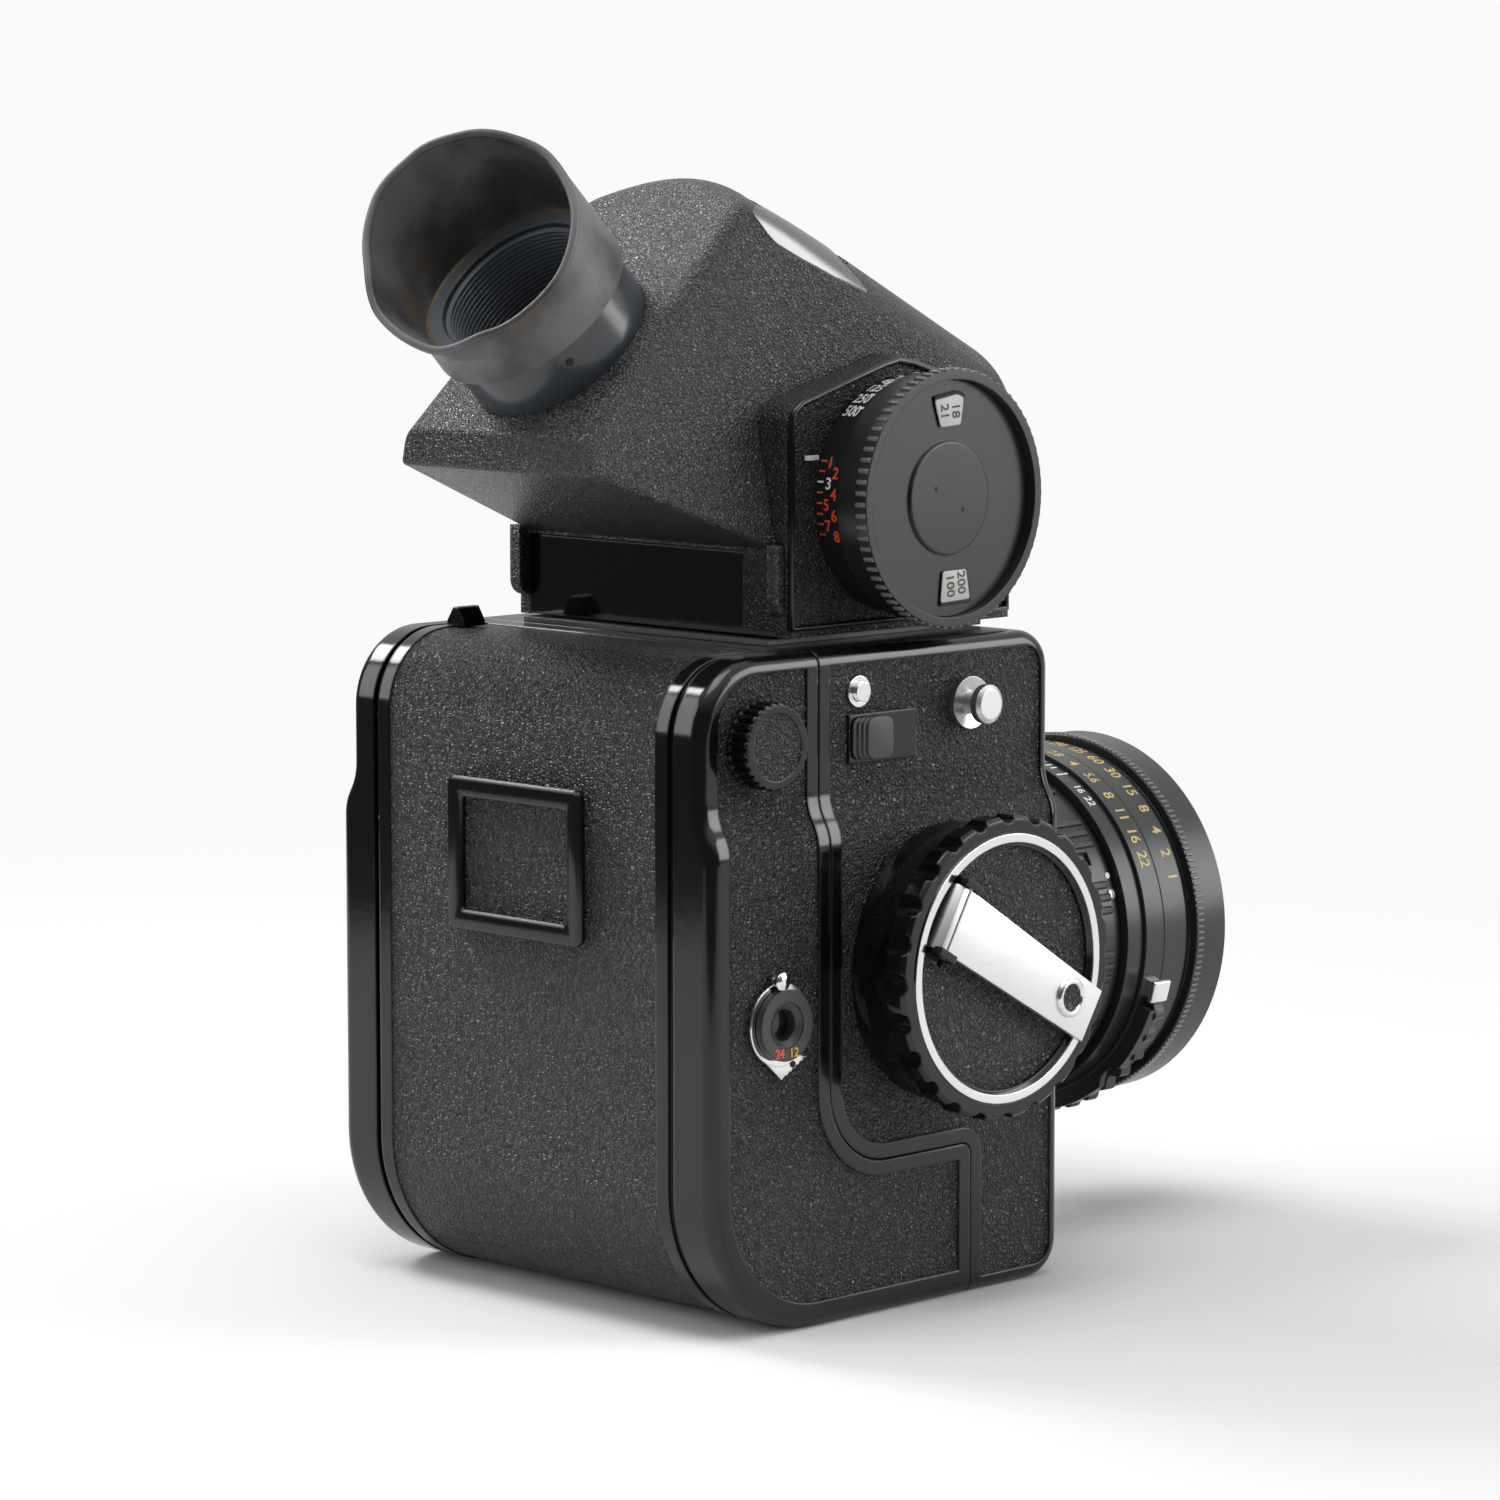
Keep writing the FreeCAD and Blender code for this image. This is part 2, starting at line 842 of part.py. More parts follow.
def buildBody():
    shaft = rod("windShaftHole", "right", (0, behind("windBehind"), "windHeight"),
                size("windShaft") + "spindleFit", size("upperHalf") - 10, beyond)
    release = rod("releaseHole", "right", (0, behind("releaseBehind"), releaseHeight),
                  "releaseBore", size("upperHalf") - 10, beyond)
    studs = rod("studHoles", "left", (0, behind("studBehind"), studHeight),
                "studNeck", -beyond, beyond)
    pocket = inlays("bodyInlay", bodyInlay(), [
        ("body_right_leather", -1, [shaft, release, studs]), ("body_left_leather", 1, [studs])])
    region = slab("bodyRegion", "side", bodyRegion(), -beyond, beyond)
    hollowHalf = size("upperHalf") - "bodyWall"
    wall = size("bodyWall")
    inner = block("bodyHollow",
                  (-hollowHalf, frontFace + wall, size("footTop") + "seamGap" + 1),
                  (hollowHalf, seamFace - "seamGap" - wall, size("bodyTop") - wall))
    legHollow = block("legHollow",
                      (-hollowHalf, frontFace + wall, wall),
                      (hollowHalf, footFace - "seamGap" - wall, size("footTop") + wall))
    gate = block("gateWindow",
                 (-size("mirrorBoxHalf"), 0, "mirrorBoxLow"),
                 ("mirrorBoxHalf", beyond, "mirrorBoxTop"))
    window = block("finderWindowCut",
                   (-size("finderWindow"), frontFace + "windowAhead", "mirrorBoxTop"),
                   ("finderWindow", seamFace - "windowBehind", beyond))
    throat = rod("throatCut", "lens", (0, 0, "lensHeight"), size("throatRadius") + 3, 0, beyond)
    shutter = rod("shutterHole", "lens", (-size("shutterAside"), 0, "shutterHeight"),
                  size("shutterRadius") + "shutterRingWall", 0, beyond)
    socket = rod("socketHole", "up", socketAt, "socketOuter", -1, "socketDeep")
    socketRoom = rod("socketRoom", "up", socketAt, size("socketOuter") + "socketFlange",
                     "bodyWall", size("bodyWall") + "socketFlangeThick")
    node(cut("body_shell", shared("bodyBlank", bodySkin, region), pocket, inner, legHollow, gate, window,
             throat, shaft, release, studs, shutter, socket, socketRoom))

    leather = size("leatherThick")
    panelFront = -frontFace
    panelHalf = size("upperHalf") - "panelMargin"
    panelTop = size("bodyTop") - "panelTopMargin"
    panel = slab("frontPanel", "front",
                 [(-panelHalf, "panelMargin"), (panelHalf, "panelMargin"),
                  (panelHalf, panelTop), (-panelHalf, panelTop)],
                 panelFront, panelFront + leather)
    mountHole = rod("panelMountHole", "lens", (0, 0, "lensHeight"), size("mountRing") + 0.3, 0, beyond)
    buttonHole = rod("panelButtonHole", "lens", (-size("shutterAside"), 0, "shutterHeight"),
                     size("shutterRadius") + "shutterRingWall" + 0.3, 0, beyond)
    node(cut("front_leather", panel, mountHole, buttonHole))

    seatTop = size("bodyTop") + "seatRise"
    seatHole = block("seatHole",
                     (-size("finderWindow"), frontFace + 12, 0),
                     ("finderWindow", seamFace - 8, beyond))
    seat = block("seatPlate",
                 (-size("seatHalf"), frontFace + 4, "bodyTop"),
                 ("seatHalf", behind("finderRear") + 2, seatTop))
    node(cut("finder_seat", seat, seatHole))

    deep = size("socketDeep")
    flange = size("socketOuter") + "socketFlange"
    flangeTop = size("bodyWall") + "socketFlangeThick"
    node(turned("tripod_socket", "up", socketAt, [
        ("socketBore", 0), ("socketOuter", 0), ("socketOuter", "bodyWall"),
        (flange, "bodyWall"), (flange, flangeTop), ("socketOuter", flangeTop),
        ("socketOuter", deep), ("socketBore", deep)]))

    tall = size("studTall")
    headLow = tall - "studHeadTall"
    for name, way in (("strap_stud_right", "right"), ("strap_stud_left", "left")):
        at = (0, behind("studBehind"), studHeight)
        face = size("upperHalf") - "leatherSink"
        neck = size("studNeck")
        node(turned(name, way, at, [
            (0, face - "bodyWall"), (neck, face - "bodyWall"), (neck, face),
            ("studDish", face), ("studDish", face + "studDishTall"), (neck, face + 0.5),
            (neck, face + headLow), ("studHead", face + headLow + 0.5),
            ("studHead", face + tall - 0.5), (size("studHead") - 0.8, face + tall), (0, face + tall)]))


def buildBodyControls():
    face = size("upperHalf") - "leatherSink"
    at = (0, behind("releaseBehind"), releaseHeight)
    ringTop = face + "releaseRingProud"
    node(ring("release_bezel", "right", at, "releaseBore", "releaseRing", face, ringTop))
    node(rod("finder_release_button", "right", at, "releasePin",
             face - "bodyWall", face + "releaseProud"))

    plateY = behind("sliderBehind")
    half = size("sliderTall") / 2
    plateHalf = size("sliderPlateTall") / 2
    plateRear = plateY + size("sliderLong") / 2 + 0.5
    plateTop = face + "sliderPlateThick"
    node(block("slider_plate",
               (-plateTop, plateRear - "sliderPlateLong", sliderHeight - plateHalf),
               (-face, plateRear, sliderHeight + plateHalf)))
    tab = block("sliderTab",
                (-(plateTop + "sliderThick"), plateY - size("sliderLong") / 2, sliderHeight - half),
                (-(plateTop + 0.05), plateY + size("sliderLong") / 2, sliderHeight + half))
    grooves = []
    for number in range(3):
        y = plateY + size("sliderLong") / 2 - 1.0 - number * 1.2
        grooves.append(block("sliderGroove%d" % number,
                             (-(plateTop + "sliderThick") - 1, y - 0.3, sliderHeight - beyond),
                             (-(plateTop + "sliderThick") + 0.5, y + 0.3, sliderHeight + beyond)))
    node(cut("multi_exposure_slider", tab, *grooves))

    aside = (-size("shutterAside"), 0, "shutterHeight")
    front = -frontFace
    outer = size("shutterRadius") + "shutterRingWall"
    inner = size("shutterRadius") + "runningFit"
    node(ring("shutter_collar", "lens", aside, inner, outer, front - "bodyWall", front + 1.2))
    node(rod("shutter_button", "lens", aside, "shutterRadius", front - "bodyWall", front + "shutterProud"))


def buildReflex():
    wall = size("mirrorBoxWall")
    half = size("mirrorBoxHalf") - 0.4
    front = frontFace + "mirrorBoxFront"
    rear = seamFace - "seamGap" - 0.2
    outer = block("mirrorBoxOuter", (-half, front, size("mirrorBoxLow") + 0.1),
                  (half, rear, size("mirrorBoxTop") - 0.1))
    inner = block("mirrorBoxInner",
                  (-(half - wall), -beyond, size("mirrorBoxLow") + wall),
                  (half - wall, beyond, beyond))
    ledge = size("mirrorBoxTop") + 0.1
    corner = slab("mirrorBoxCorner", "side", backRegion(-size("seamGap")), -beyond, beyond)
    node(cut("mirror_box", outer, inner, corner))
    node(block("focusing_screen",
               (-size("screenHalf"), frontFace + 11, ledge - 0.1),
               ("screenHalf", seamFace - 7, ledge + "screenThick")))
    hingeY = seamFace - "mirrorHingeInset"
    hingeZ = size("mirrorBoxTop") - "mirrorHingeDrop"
    plate = block("mirrorPlate", (-size("mirrorHalf"), -size("mirrorLong"), -size("mirrorThick")),
                  ("mirrorHalf", 0, 0))
    pin = rod("mirrorPin", "left", (0, 0, -size("mirrorThick") / 2), size("mirrorThick") / 2,
              -(half - wall - 0.05), half - wall - 0.05)
    mirror = node(fused("reflex_mirror", plate, pin))
    place(mirror, (0, hingeY, hingeZ), FreeCAD.Rotation(FreeCAD.Vector(1, 0, 0), 45))


def buildWinder():
    at = (0, behind("windBehind"), "windHeight")
    base = size("lowerHalf") + "windSeat"
    top = size("lowerHalf") + "windTall"
    flangeLow = top - "windFlangeThick"
    bed = top + "trimProud" - "trimThick"
    floor = top - "faceSink" - "faceLeather"
    knob = turned("windKnobTurned", "right", at, [
        (0, size("lowerHalf") - "windShaftLong"), ("windShaft", size("lowerHalf") - "windShaftLong"),
        ("windShaft", base), ("windBaseRadius", base), (size("windBaseRadius") - 0.6, base + 2.4),
        (size("windBaseRadius") + 0.9, flangeLow - 1.2), ("windFlangeRadius", flangeLow),
        ("windFlangeRadius", top - 0.6), (size("windFlangeRadius") - 0.6, top),
        ("trimOuter", top), ("trimOuter", bed), ("trimInner", bed), ("faceRadius", bed),
        ("faceRadius", floor), (0, floor)])
    notched(knob, "windScallops", "scallopReach", "scallopRadius", base + 2.6, top)

    slope = size("crankSlope")
    along = [-cosine(slope), -sine(slope)]
    hinge = (0, behind("crankBehind"), "crankHeight")
    lie = FreeCAD.Rotation(FreeCAD.Vector(1, 0, 0), slope.value)
    wide = size("crankWide") / 2
    leverLow = top + "trimProud" + "crankLift"
    pinX = leverLow + size("crankThick") / 2
    near = wide + "lugGap"
    far = near + "lugThick"
    lugs = []
    for name, low, high in (("lugUpper", near, far), ("lugLower", -far, -near)):
        lug = slab(name, "side", [(-2.2, low), (2.2, low), (2.2, high), (-2.2, high)],
                   -(pinX + 1.1), -(floor - 0.5))
        place(lug, hinge, lie.multiply(lies["side"]))
        lugs.append(lug)
    pinAt = (-pinX, hinge[1], hinge[2])
    pinHole = rod("crankPinHole", "up", pinAt, "crankPin", -far, far, lie)
    node(cut("wind_knob", fused("windKnobWhole", knob, *lugs), pinHole))
    node(ring("knob_trim_ring", "right", at, size("trimInner"), "trimOuter", bed, top + "trimProud"))
    hingeCut = slab("leatherHingeCut", "side",
                    [(-3, -(wide + 2.4)), (3, -(wide + 2.4)), (3, wide + 2.4), (-3, wide + 2.4)],
                    -(top + 5), -(floor - 1))
    place(hingeCut, hinge, lie.multiply(lies["side"]))
    disc = rod("knobLeatherDisc", "right", at, size("faceRadius") - 0.05, floor, floor + "faceLeather")
    node(cut("knob_leather", disc, hingeCut))
    node(rod("crank_hinge_pin", "up", pinAt, "crankPin", -far, far, lie))

    tip = size("crankTip") / 2
    lever = slab("leverPlate", "side",
                 [(0, -wide), (0, wide), (-size("crankLong"), tip), (-size("crankLong"), -tip)],
                 -(leverLow + "crankThick"), -leverLow)
    place(lever, hinge, lie.multiply(lies["side"]))
    eye = rod("leverEye", "up", pinAt, "crankEye", -wide, wide, lie)
    eyeHole = rod("leverEyeHole", "up", pinAt, size("crankPin") + "spindleFit", -wide, wide, lie)
    gripReach = size("crankLong") - "gripFromTip"
    gripAt = (0, hinge[1] + along[0] * gripReach, hinge[2] + along[1] * gripReach)
    stemHole = rod("gripHole", "right", gripAt, size("gripStem") + "spindleFit",
                   leverLow - 1, leverLow + 5)
    node(cut("crank_lever", fused("leverWhole", lever, eye), eyeHole, stemHole))
    leverTop = leverLow + "crankThick"
    node(turned("crank_grip", "right", gripAt, [
        (0, leverLow + 0.1), ("gripStem", leverLow + 0.1), ("gripStem", leverTop + 0.06),
        ("gripRadius", leverTop + 0.06), ("gripRadius", leverTop + "gripTall"),
        (0, leverTop + "gripTall")]))


def buildBack():
    knobAt = (0, behind("upperSpoolBehind"), "upperSpoolHeight")
    spindle = rod("spindleHole", "right", knobAt, size("spindleRadius") + "spindleFit", 0, beyond)
    counterAt = (0, behind("counterBehind"), "counterHeight")
    well = rod("counterWell", "right", counterAt, "bezelInner", size("lowerHalf") - 2.2, beyond)
    slideHalf = size("darkSlideTall") / 2 + "slotGap"
    slotY = seamFace + size("frontWall") / 2
    slotHalf = size("darkSlideThick") / 2 + "slotGap"
    middle = (size("gateLow") + "gateHigh") / 2
    slot = block("darkSlideSlot",
                 (-size("darkSlideWide") / 2 - "slotGap", slotY - slotHalf, middle - slideHalf),
                 (beyond, slotY + slotHalf, middle + slideHalf))
    pocket = inlays("backInlay", backInlay(), [
        ("right_cheek_leather", -1, [spindle, well]), ("left_cheek_leather", 1, [slot])])
    region = slab("backRegion", "side", backRegion(0), -beyond, beyond)
    blank = shared("backBlank", bodySkin, region)
    inside = slab("wrapHollow", "side", sideOutline("wrapWall"), -beyond, beyond)
    room = slab("backRoom", "side", backRegion("frontWall"), -beyond, beyond)
    hollow = shared("backHollow", inside, room)
    half = size("wrapHalf")
    wrapField = block("wrapField", (-half, -beyond, -beyond), (half, beyond, beyond))
    wrap = shared("wrapBlank", blank, wrapField)
    gate = block("gateCut", (-size("gateWide") / 2, seamFace - 1, "gateLow"),
                 (size("gateWide") / 2, seamFace + "frontWall" + 1, "gateHigh"))
    lower = slab("leatherLevel", "side", sideOutline("rimRise"), -beyond, beyond)
    fieldFront = seamFace + "wrapFront"
    rimField = block("rimField", (-size("rimInner"), fieldFront, -beyond), ("rimInner", beyond, beyond))
    lowered = cut("leatherStep", rimField, lower)
    bed = slab("leatherLevelBed", "side", sideOutline(size("rimRise") - 0.6), -beyond, beyond)
    edge = size("rimInner") - 0.05
    skinField = block("skinField", (-edge, fieldFront + 0.05, -beyond), (edge, beyond, beyond))
    memoY = size("rearReach")
    node(cut("back_leather", shared("backSkin", bed, skinField), lower))
    rims = block("grooveLeft", (size("rimOuter"), fieldFront, -beyond), (beyond, beyond, beyond))
    rimsRight = block("grooveRight", (-beyond, fieldFront, -beyond), (-size("rimOuter"), beyond, beyond))
    grooves = cut("grooveStep", fused("grooveField", rims, rimsRight),
                  slab("grooveLevel", "side", sideOutline("rimRise"), -beyond, beyond))
    node(cut("magazine_shell", wrap, hollow, gate, lowered, grooves, slot))

    floor = size("upperHalf") - "bodyWall"
    for name, side, holes in (("left_cheek", 1, [slot]), ("right_cheek", -1, [spindle, well])):
        piece = shared(name + "Blank", blank, flank(name + "Field", side, half + "cheekGap", beyond))
        rimSide = slab(name + "Rim", "side", sideOutline("cheekRim"), -beyond, beyond)
        rimRoom = slab(name + "Room", "side", backRegion("cheekRim"), -beyond, beyond)
        dish = shared(name + "Dish", rimSide, rimRoom, flank(name + "DishField", side, 0, floor))
        node(cut(name, piece, pocket, dish, *holes))

    slideLow = -size("darkSlideWide") / 2
    slideY = size("darkSlideThick") / 2
    tallHalf = size("darkSlideTall") / 2
    plate = block("darkSlidePlate", (slideLow, slotY - slideY, middle - tallHalf),
                  (size("lowerHalf") + 0.5, slotY + slideY, middle + tallHalf))
    grip = block("darkSlideGrip", (size("lowerHalf") + 0.4, slotY - slideY * 2.5, middle - tallHalf / 2),
                 (size("lowerHalf") + "darkSlideTab", slotY + slideY * 2.5, middle + tallHalf / 2))
    node(fused("dark_slide", plate, grip))

    memoHalf = size("memoWide") / 2
    memoTop = size("memoLow") + "memoTall"
    skin = memoY - size("rimRise") + 0.6
    frame = block("memoBlock", (-memoHalf, skin + 0.02, "memoLow"), (memoHalf, skin + "memoProud", memoTop))
    opening = block("memoOpening",
                    (-(memoHalf - "memoSide"), 0, size("memoLow") + "memoLowBar"),
                    (memoHalf - "memoSide", beyond, memoTop - "memoTopBar"))
    node(cut("memo_frame", frame, opening))

    latchZ = size("bodyTop")
    y = behind("latchBehind")
    node(slab("back_latch", "front", [
        (size("latchSide") - size("latchWide") / 2, latchZ + 0.05),
        (size("latchSide") + size("latchWide") / 2, latchZ + 0.05),
        (size("latchSide") + size("latchWide") / 2, latchZ + "latchFoot"),
        (size("latchSide") + 0.6, latchZ + "latchTall"),
        (size("latchSide") - 0.6, latchZ + "latchTall"),
        (size("latchSide") - size("latchWide") / 2, latchZ + "latchFoot")],
        -(y + size("latchLong") / 2), -(y - size("latchLong") / 2)))


def spool(label, at):
    half = size("spoolHalf")
    inner = half - "flangeThick"
    return turned(label, "left", at, [
        ("spoolBore", -half), ("spoolFlange", -half), ("spoolFlange", -inner), ("spoolCore", -inner),
        ("spoolCore", inner), ("spoolFlange", inner), ("spoolFlange", half), ("spoolBore", half)])


def buildInsert():
    upper = (0, behind("upperSpoolBehind"), "upperSpoolHeight")
    lower = (0, behind("lowerSpoolBehind"), "lowerSpoolHeight")
    thick = size("frameThick")
    plateY = behind("plateBehind")
    node(spool("takeup_spool", upper))
    node(spool("supply_spool", lower))
    inner = size("spoolHalf") + 0.3
    walls = []
    outline = [
        (plateY - 1.0, size("lowerSpoolHeight") - "frameFoot" - 2.5),
        (behind("lowerSpoolBehind") + "frameHeel", size("lowerSpoolHeight") - "frameFoot"),
        (plateY + "frameReach", size("plateLow") - "frameStep"),
        (plateY + "frameReach", size("plateHigh") + "frameStep"),
        (behind("upperSpoolBehind") + "frameHead", size("upperSpoolHeight") + "frameRise"),
        (plateY - 1.0, size("upperSpoolHeight") + "frameRise")]
    for name, low, high in (("frameLeft", inner, inner + thick), ("frameRight", -(inner + thick), -inner)):
        walls.append(slab(name, "side", outline, low, high))
    reach = size("upperHalf") - "bodyWall" + 0.02
    ties = []
    for number, z in enumerate((38, 81)):
        ties.append(rod("frameTie%d" % number, "left", (0, plateY + 12, z), 2.0, -reach, inner + thick))
        ties.append(rod("plateSpring%d" % number, "rear", (0, 0, z), 1.2,
                        plateY + "plateThick" - 0.02, plateY + 12))
    bore = rod("frameBore", "left", upper, size("spindleRadius") + "spindleFit", -beyond, beyond)
    pin = rod("lowerSpindle", "left", lower, "spindleRadius", -(inner + thick), inner + thick)
    node(cut("spool_frame", fused("frameWhole", *(walls + ties + [pin])), bore))
    node(block("pressure_plate", (-size("plateHalf"), plateY, "plateLow"),
               ("plateHalf", plateY + "plateThick", "plateHigh")))

    low = size("upperHalf") + "filmKnobSeat"
    high = low + "filmKnobTall"
    bed = high - "filmCapThick"
    knob = turned("film_knob", "right", upper, [
        (0, -(inner + thick)), ("spindleRadius", -(inner + thick)), ("spindleRadius", low),
        ("filmKnobRadius", low),
        ("filmKnobRadius", high - 0.3), (size("filmKnobRadius") - 0.3, high),
        ("filmCapRadius", high), ("filmCapRadius", bed), (0, bed)])
    node(notched(knob, "filmKnobTeeth", "filmKnobRadius", "toothRadius", low + 0.5, high))
    node(rod("film_knob_cap", "right", upper, size("filmCapRadius") - 0.05, bed, high - 0.1))

    at = (0, behind("counterBehind"), "counterHeight")
    face = size("lowerHalf")
    sleeve = size("bezelInner") - 0.02
    sight = size("bezelInner") - 0.6
    bezelLow = face + "selectorThick" + 0.15
    bezelTop = face + "selectorThick" + "bezelTall"
    node(turned("counter_bezel", "right", at, [
        (sight, face - 1.3), (sleeve, face - 1.3), (sleeve, bezelLow), ("counterRadius", bezelLow),
        ("counterRadius", bezelTop), (sight, bezelTop)]))
    discLow = face - 2.15
    node(rod("counter_disc", "right", at, "counterDiscRadius", discLow, discLow + "counterDiscThick"))
    glassLow = face - 1.0
    node(rod("counter_glass", "right", at, sight - 0.03, glassLow, glassLow + "glassThick"))
    tip = size("selectorTip")
    side = size("selectorHalf")
    selector = slab("selectorPlate", "side", [
        (-side, -size("selectorRadius") + 1.2), (0, -tip), (side, -size("selectorRadius") + 1.2), (0, 0)],
        -(face + "selectorThick"), -(face + 0.05), at)
    washer = ring("selectorWasher", "right", at, size("bezelInner") + 0.04, "selectorRadius",
                  face + 0.05, face + "selectorThick")
    bore = rod("selectorBore", "right", at, size("bezelInner") + 0.04, 0, beyond)
    node(cut("format_selector", fused("selectorWhole", selector, washer), bore))


def finderCrown():
    """The sharp corner where the lines of the rear face and the roof would meet, as (y, z)."""
    rise = size("crownHeight") - "stripHigh"
    return size("rearReach") + "overhang" - rise / tangent("rearSlope"), size("crownHeight")


def roofFall():
    """How far the roof's middle line falls for each millimetre forward."""
    crownY, crownZ = finderCrown()
    return (crownZ - "browHeight") / (crownY - frontFace)


def roofRun():
    """The cosine of the roof's slope."""
    fall = roofFall()
    return 1 / root(1 + fall * fall)


def finderSide(inset):
    """The finder's side view, up to where its rear face meets the arch of the roof."""
    inset = size(inset)
    foot = size("bodyTop") + "seatRise" + "finderGap"
    front = frontFace + inset
    rear = behind("finderRear") - inset
    eave = size("rearReach") + "overhang" - inset
    crownY, crownZ = finderCrown()
    crownZ = crownZ - inset * 1.3
    over = crownZ - size("stripHigh")
    return [
        (front, foot),
        (rear, foot),
        (rear, size("plateTop") + inset),
        (eave, size("stripLow") + inset),
        (eave, crownZ - (eave - crownY) * tangent("rearSlope")),
        (crownY - over / tangent("rearSlope"), crownZ + over),
        (front, crownZ + over),
    ]


def finderBrow(inset):
    """The side view of all that the rounded brow leaves, just above the roof behind it."""
    inset = size(inset)
    front = frontFace + inset
    crownY, crownZ = finderCrown()
    bend = size("browRadius") - inset
    step = bend * (1 - roofFall() * roofRun()) / roofRun()
    peak = crownZ + "browLift" - inset * 1.17 - (crownY - front) * roofFall()
    high = crownZ * 2
    return [
        (front, 0),
        (beyond * 2, 0),
        (beyond * 2, high),
        (front + (high - peak) / roofFall(), high),
        (front + step * roofRun(), peak + step * (roofFall() * roofRun())),
        (front, peak - step, bend),
    ]


def finderArch(label, inset):
    """An upright cone whose front slope is the finder's roof, arched at the crown and flatter ahead."""
    crownY, crownZ = finderCrown()
    tall = size("bodyTop")
    peak = crownZ + (behind("archBehind") - crownY) * roofFall() - size(inset) / roofRun()
    arch = doc.addObject("Part::Cone", label)
    arch.Label = label
    bind(arch, "Radius1", tall / roofFall())
    arch.Radius2 = 0
    bind(arch, "Height", tall)
    place(arch, (0, behind("archBehind"), peak - tall), FreeCAD.Rotation())
    return arch


def finderBlank(label, inset):
    inset = size(inset)
    half = size("finderHalf") - inset
    side = slab(label + "Side", "side", finderSide(inset), -half, half)
    slope = size("sideSlope")
    reach = size("rearReach") * 3
    drop = inset * 4.1
    tent = slab(label + "Tent", "flat", [
        (0, -drop), (-slope * reach, -reach - drop), (slope * reach, -reach - drop)], -beyond * 2, beyond * 2)
    ridge = FreeCAD.Vector(0, -math.cos(math.radians(size("ridgeSlope").value)),
                           math.sin(math.radians(size("ridgeSlope").value)))
    lie = FreeCAD.Rotation(FreeCAD.Vector(1, 0, 0), FreeCAD.Vector(0, 0, 0), ridge, "ZXY")
    place(tent, (0, frontFace, "ridgeRise"), lie)
    return shared(label, side, tent, finderArch(label + "Arch", inset))


def roofEdge(box):
    """The edges between the roof and the finder's sides."""
    return aside(box, 5) and box.YMax - box.YMin > 20 and box.ZMin > size("stripHigh").value


def rearEdge(box):
    """The edges between the rear face and the finder's sides, down to the strip."""
    high = size("stripHigh").value
    onRear = box.ZMin > high - 1 and box.YMax > size("rearReach").value
    return aside(box, 5) and onRear and box.ZMax > high + 6


def crownEdge(box):
    """The curved edge between the rear face and the roof."""
    return not aside(box, 0) and box.ZMax > size("crownHeight").value - 3 and box.YMax - box.YMin > 1


def stripEdge(box):
    """The edges of the strip under the rear face, and of the underside that leads to it."""
    onStrip = box.YMax > size("rearReach").value + size("overhang").value - 0.1
    return onStrip and box.ZMax < size("stripHigh").value - 2


def onRoof(label, outer, thick, play):
    """The name plate's outline, as deep under the roof as asked, smaller all round by play."""
    middle = (finderCrown()[0] + frontFace) / 2 + "namePlateShift"
    rear = middle + size("namePlateLong") / 2 - play
    front = middle - size("namePlateLong") / 2 + play
    half = size("namePlateHalf") - play
    turn = size("namePlateCorner")
    field = slab(label + "Field", "flat", [
        (half, rear - turn), (half - turn, rear, turn), (turn - half, rear), (-half, rear - turn, turn),
        (-half, front + turn), (turn - half, front, turn), (half - turn, front), (half, front + turn, turn)],
        "bodyTop", beyond * 2)
    lower = doc.addObject("Part::Compound", label + "Lower")
    lower.Label = label + "Lower"
    lower.Links = [outer]
    place(lower, (0, size(thick) * (roofFall() * roofRun()), -size(thick) * roofRun()), FreeCAD.Rotation())
    return cut(label, shared(label + "Skin", outer, field), lower)


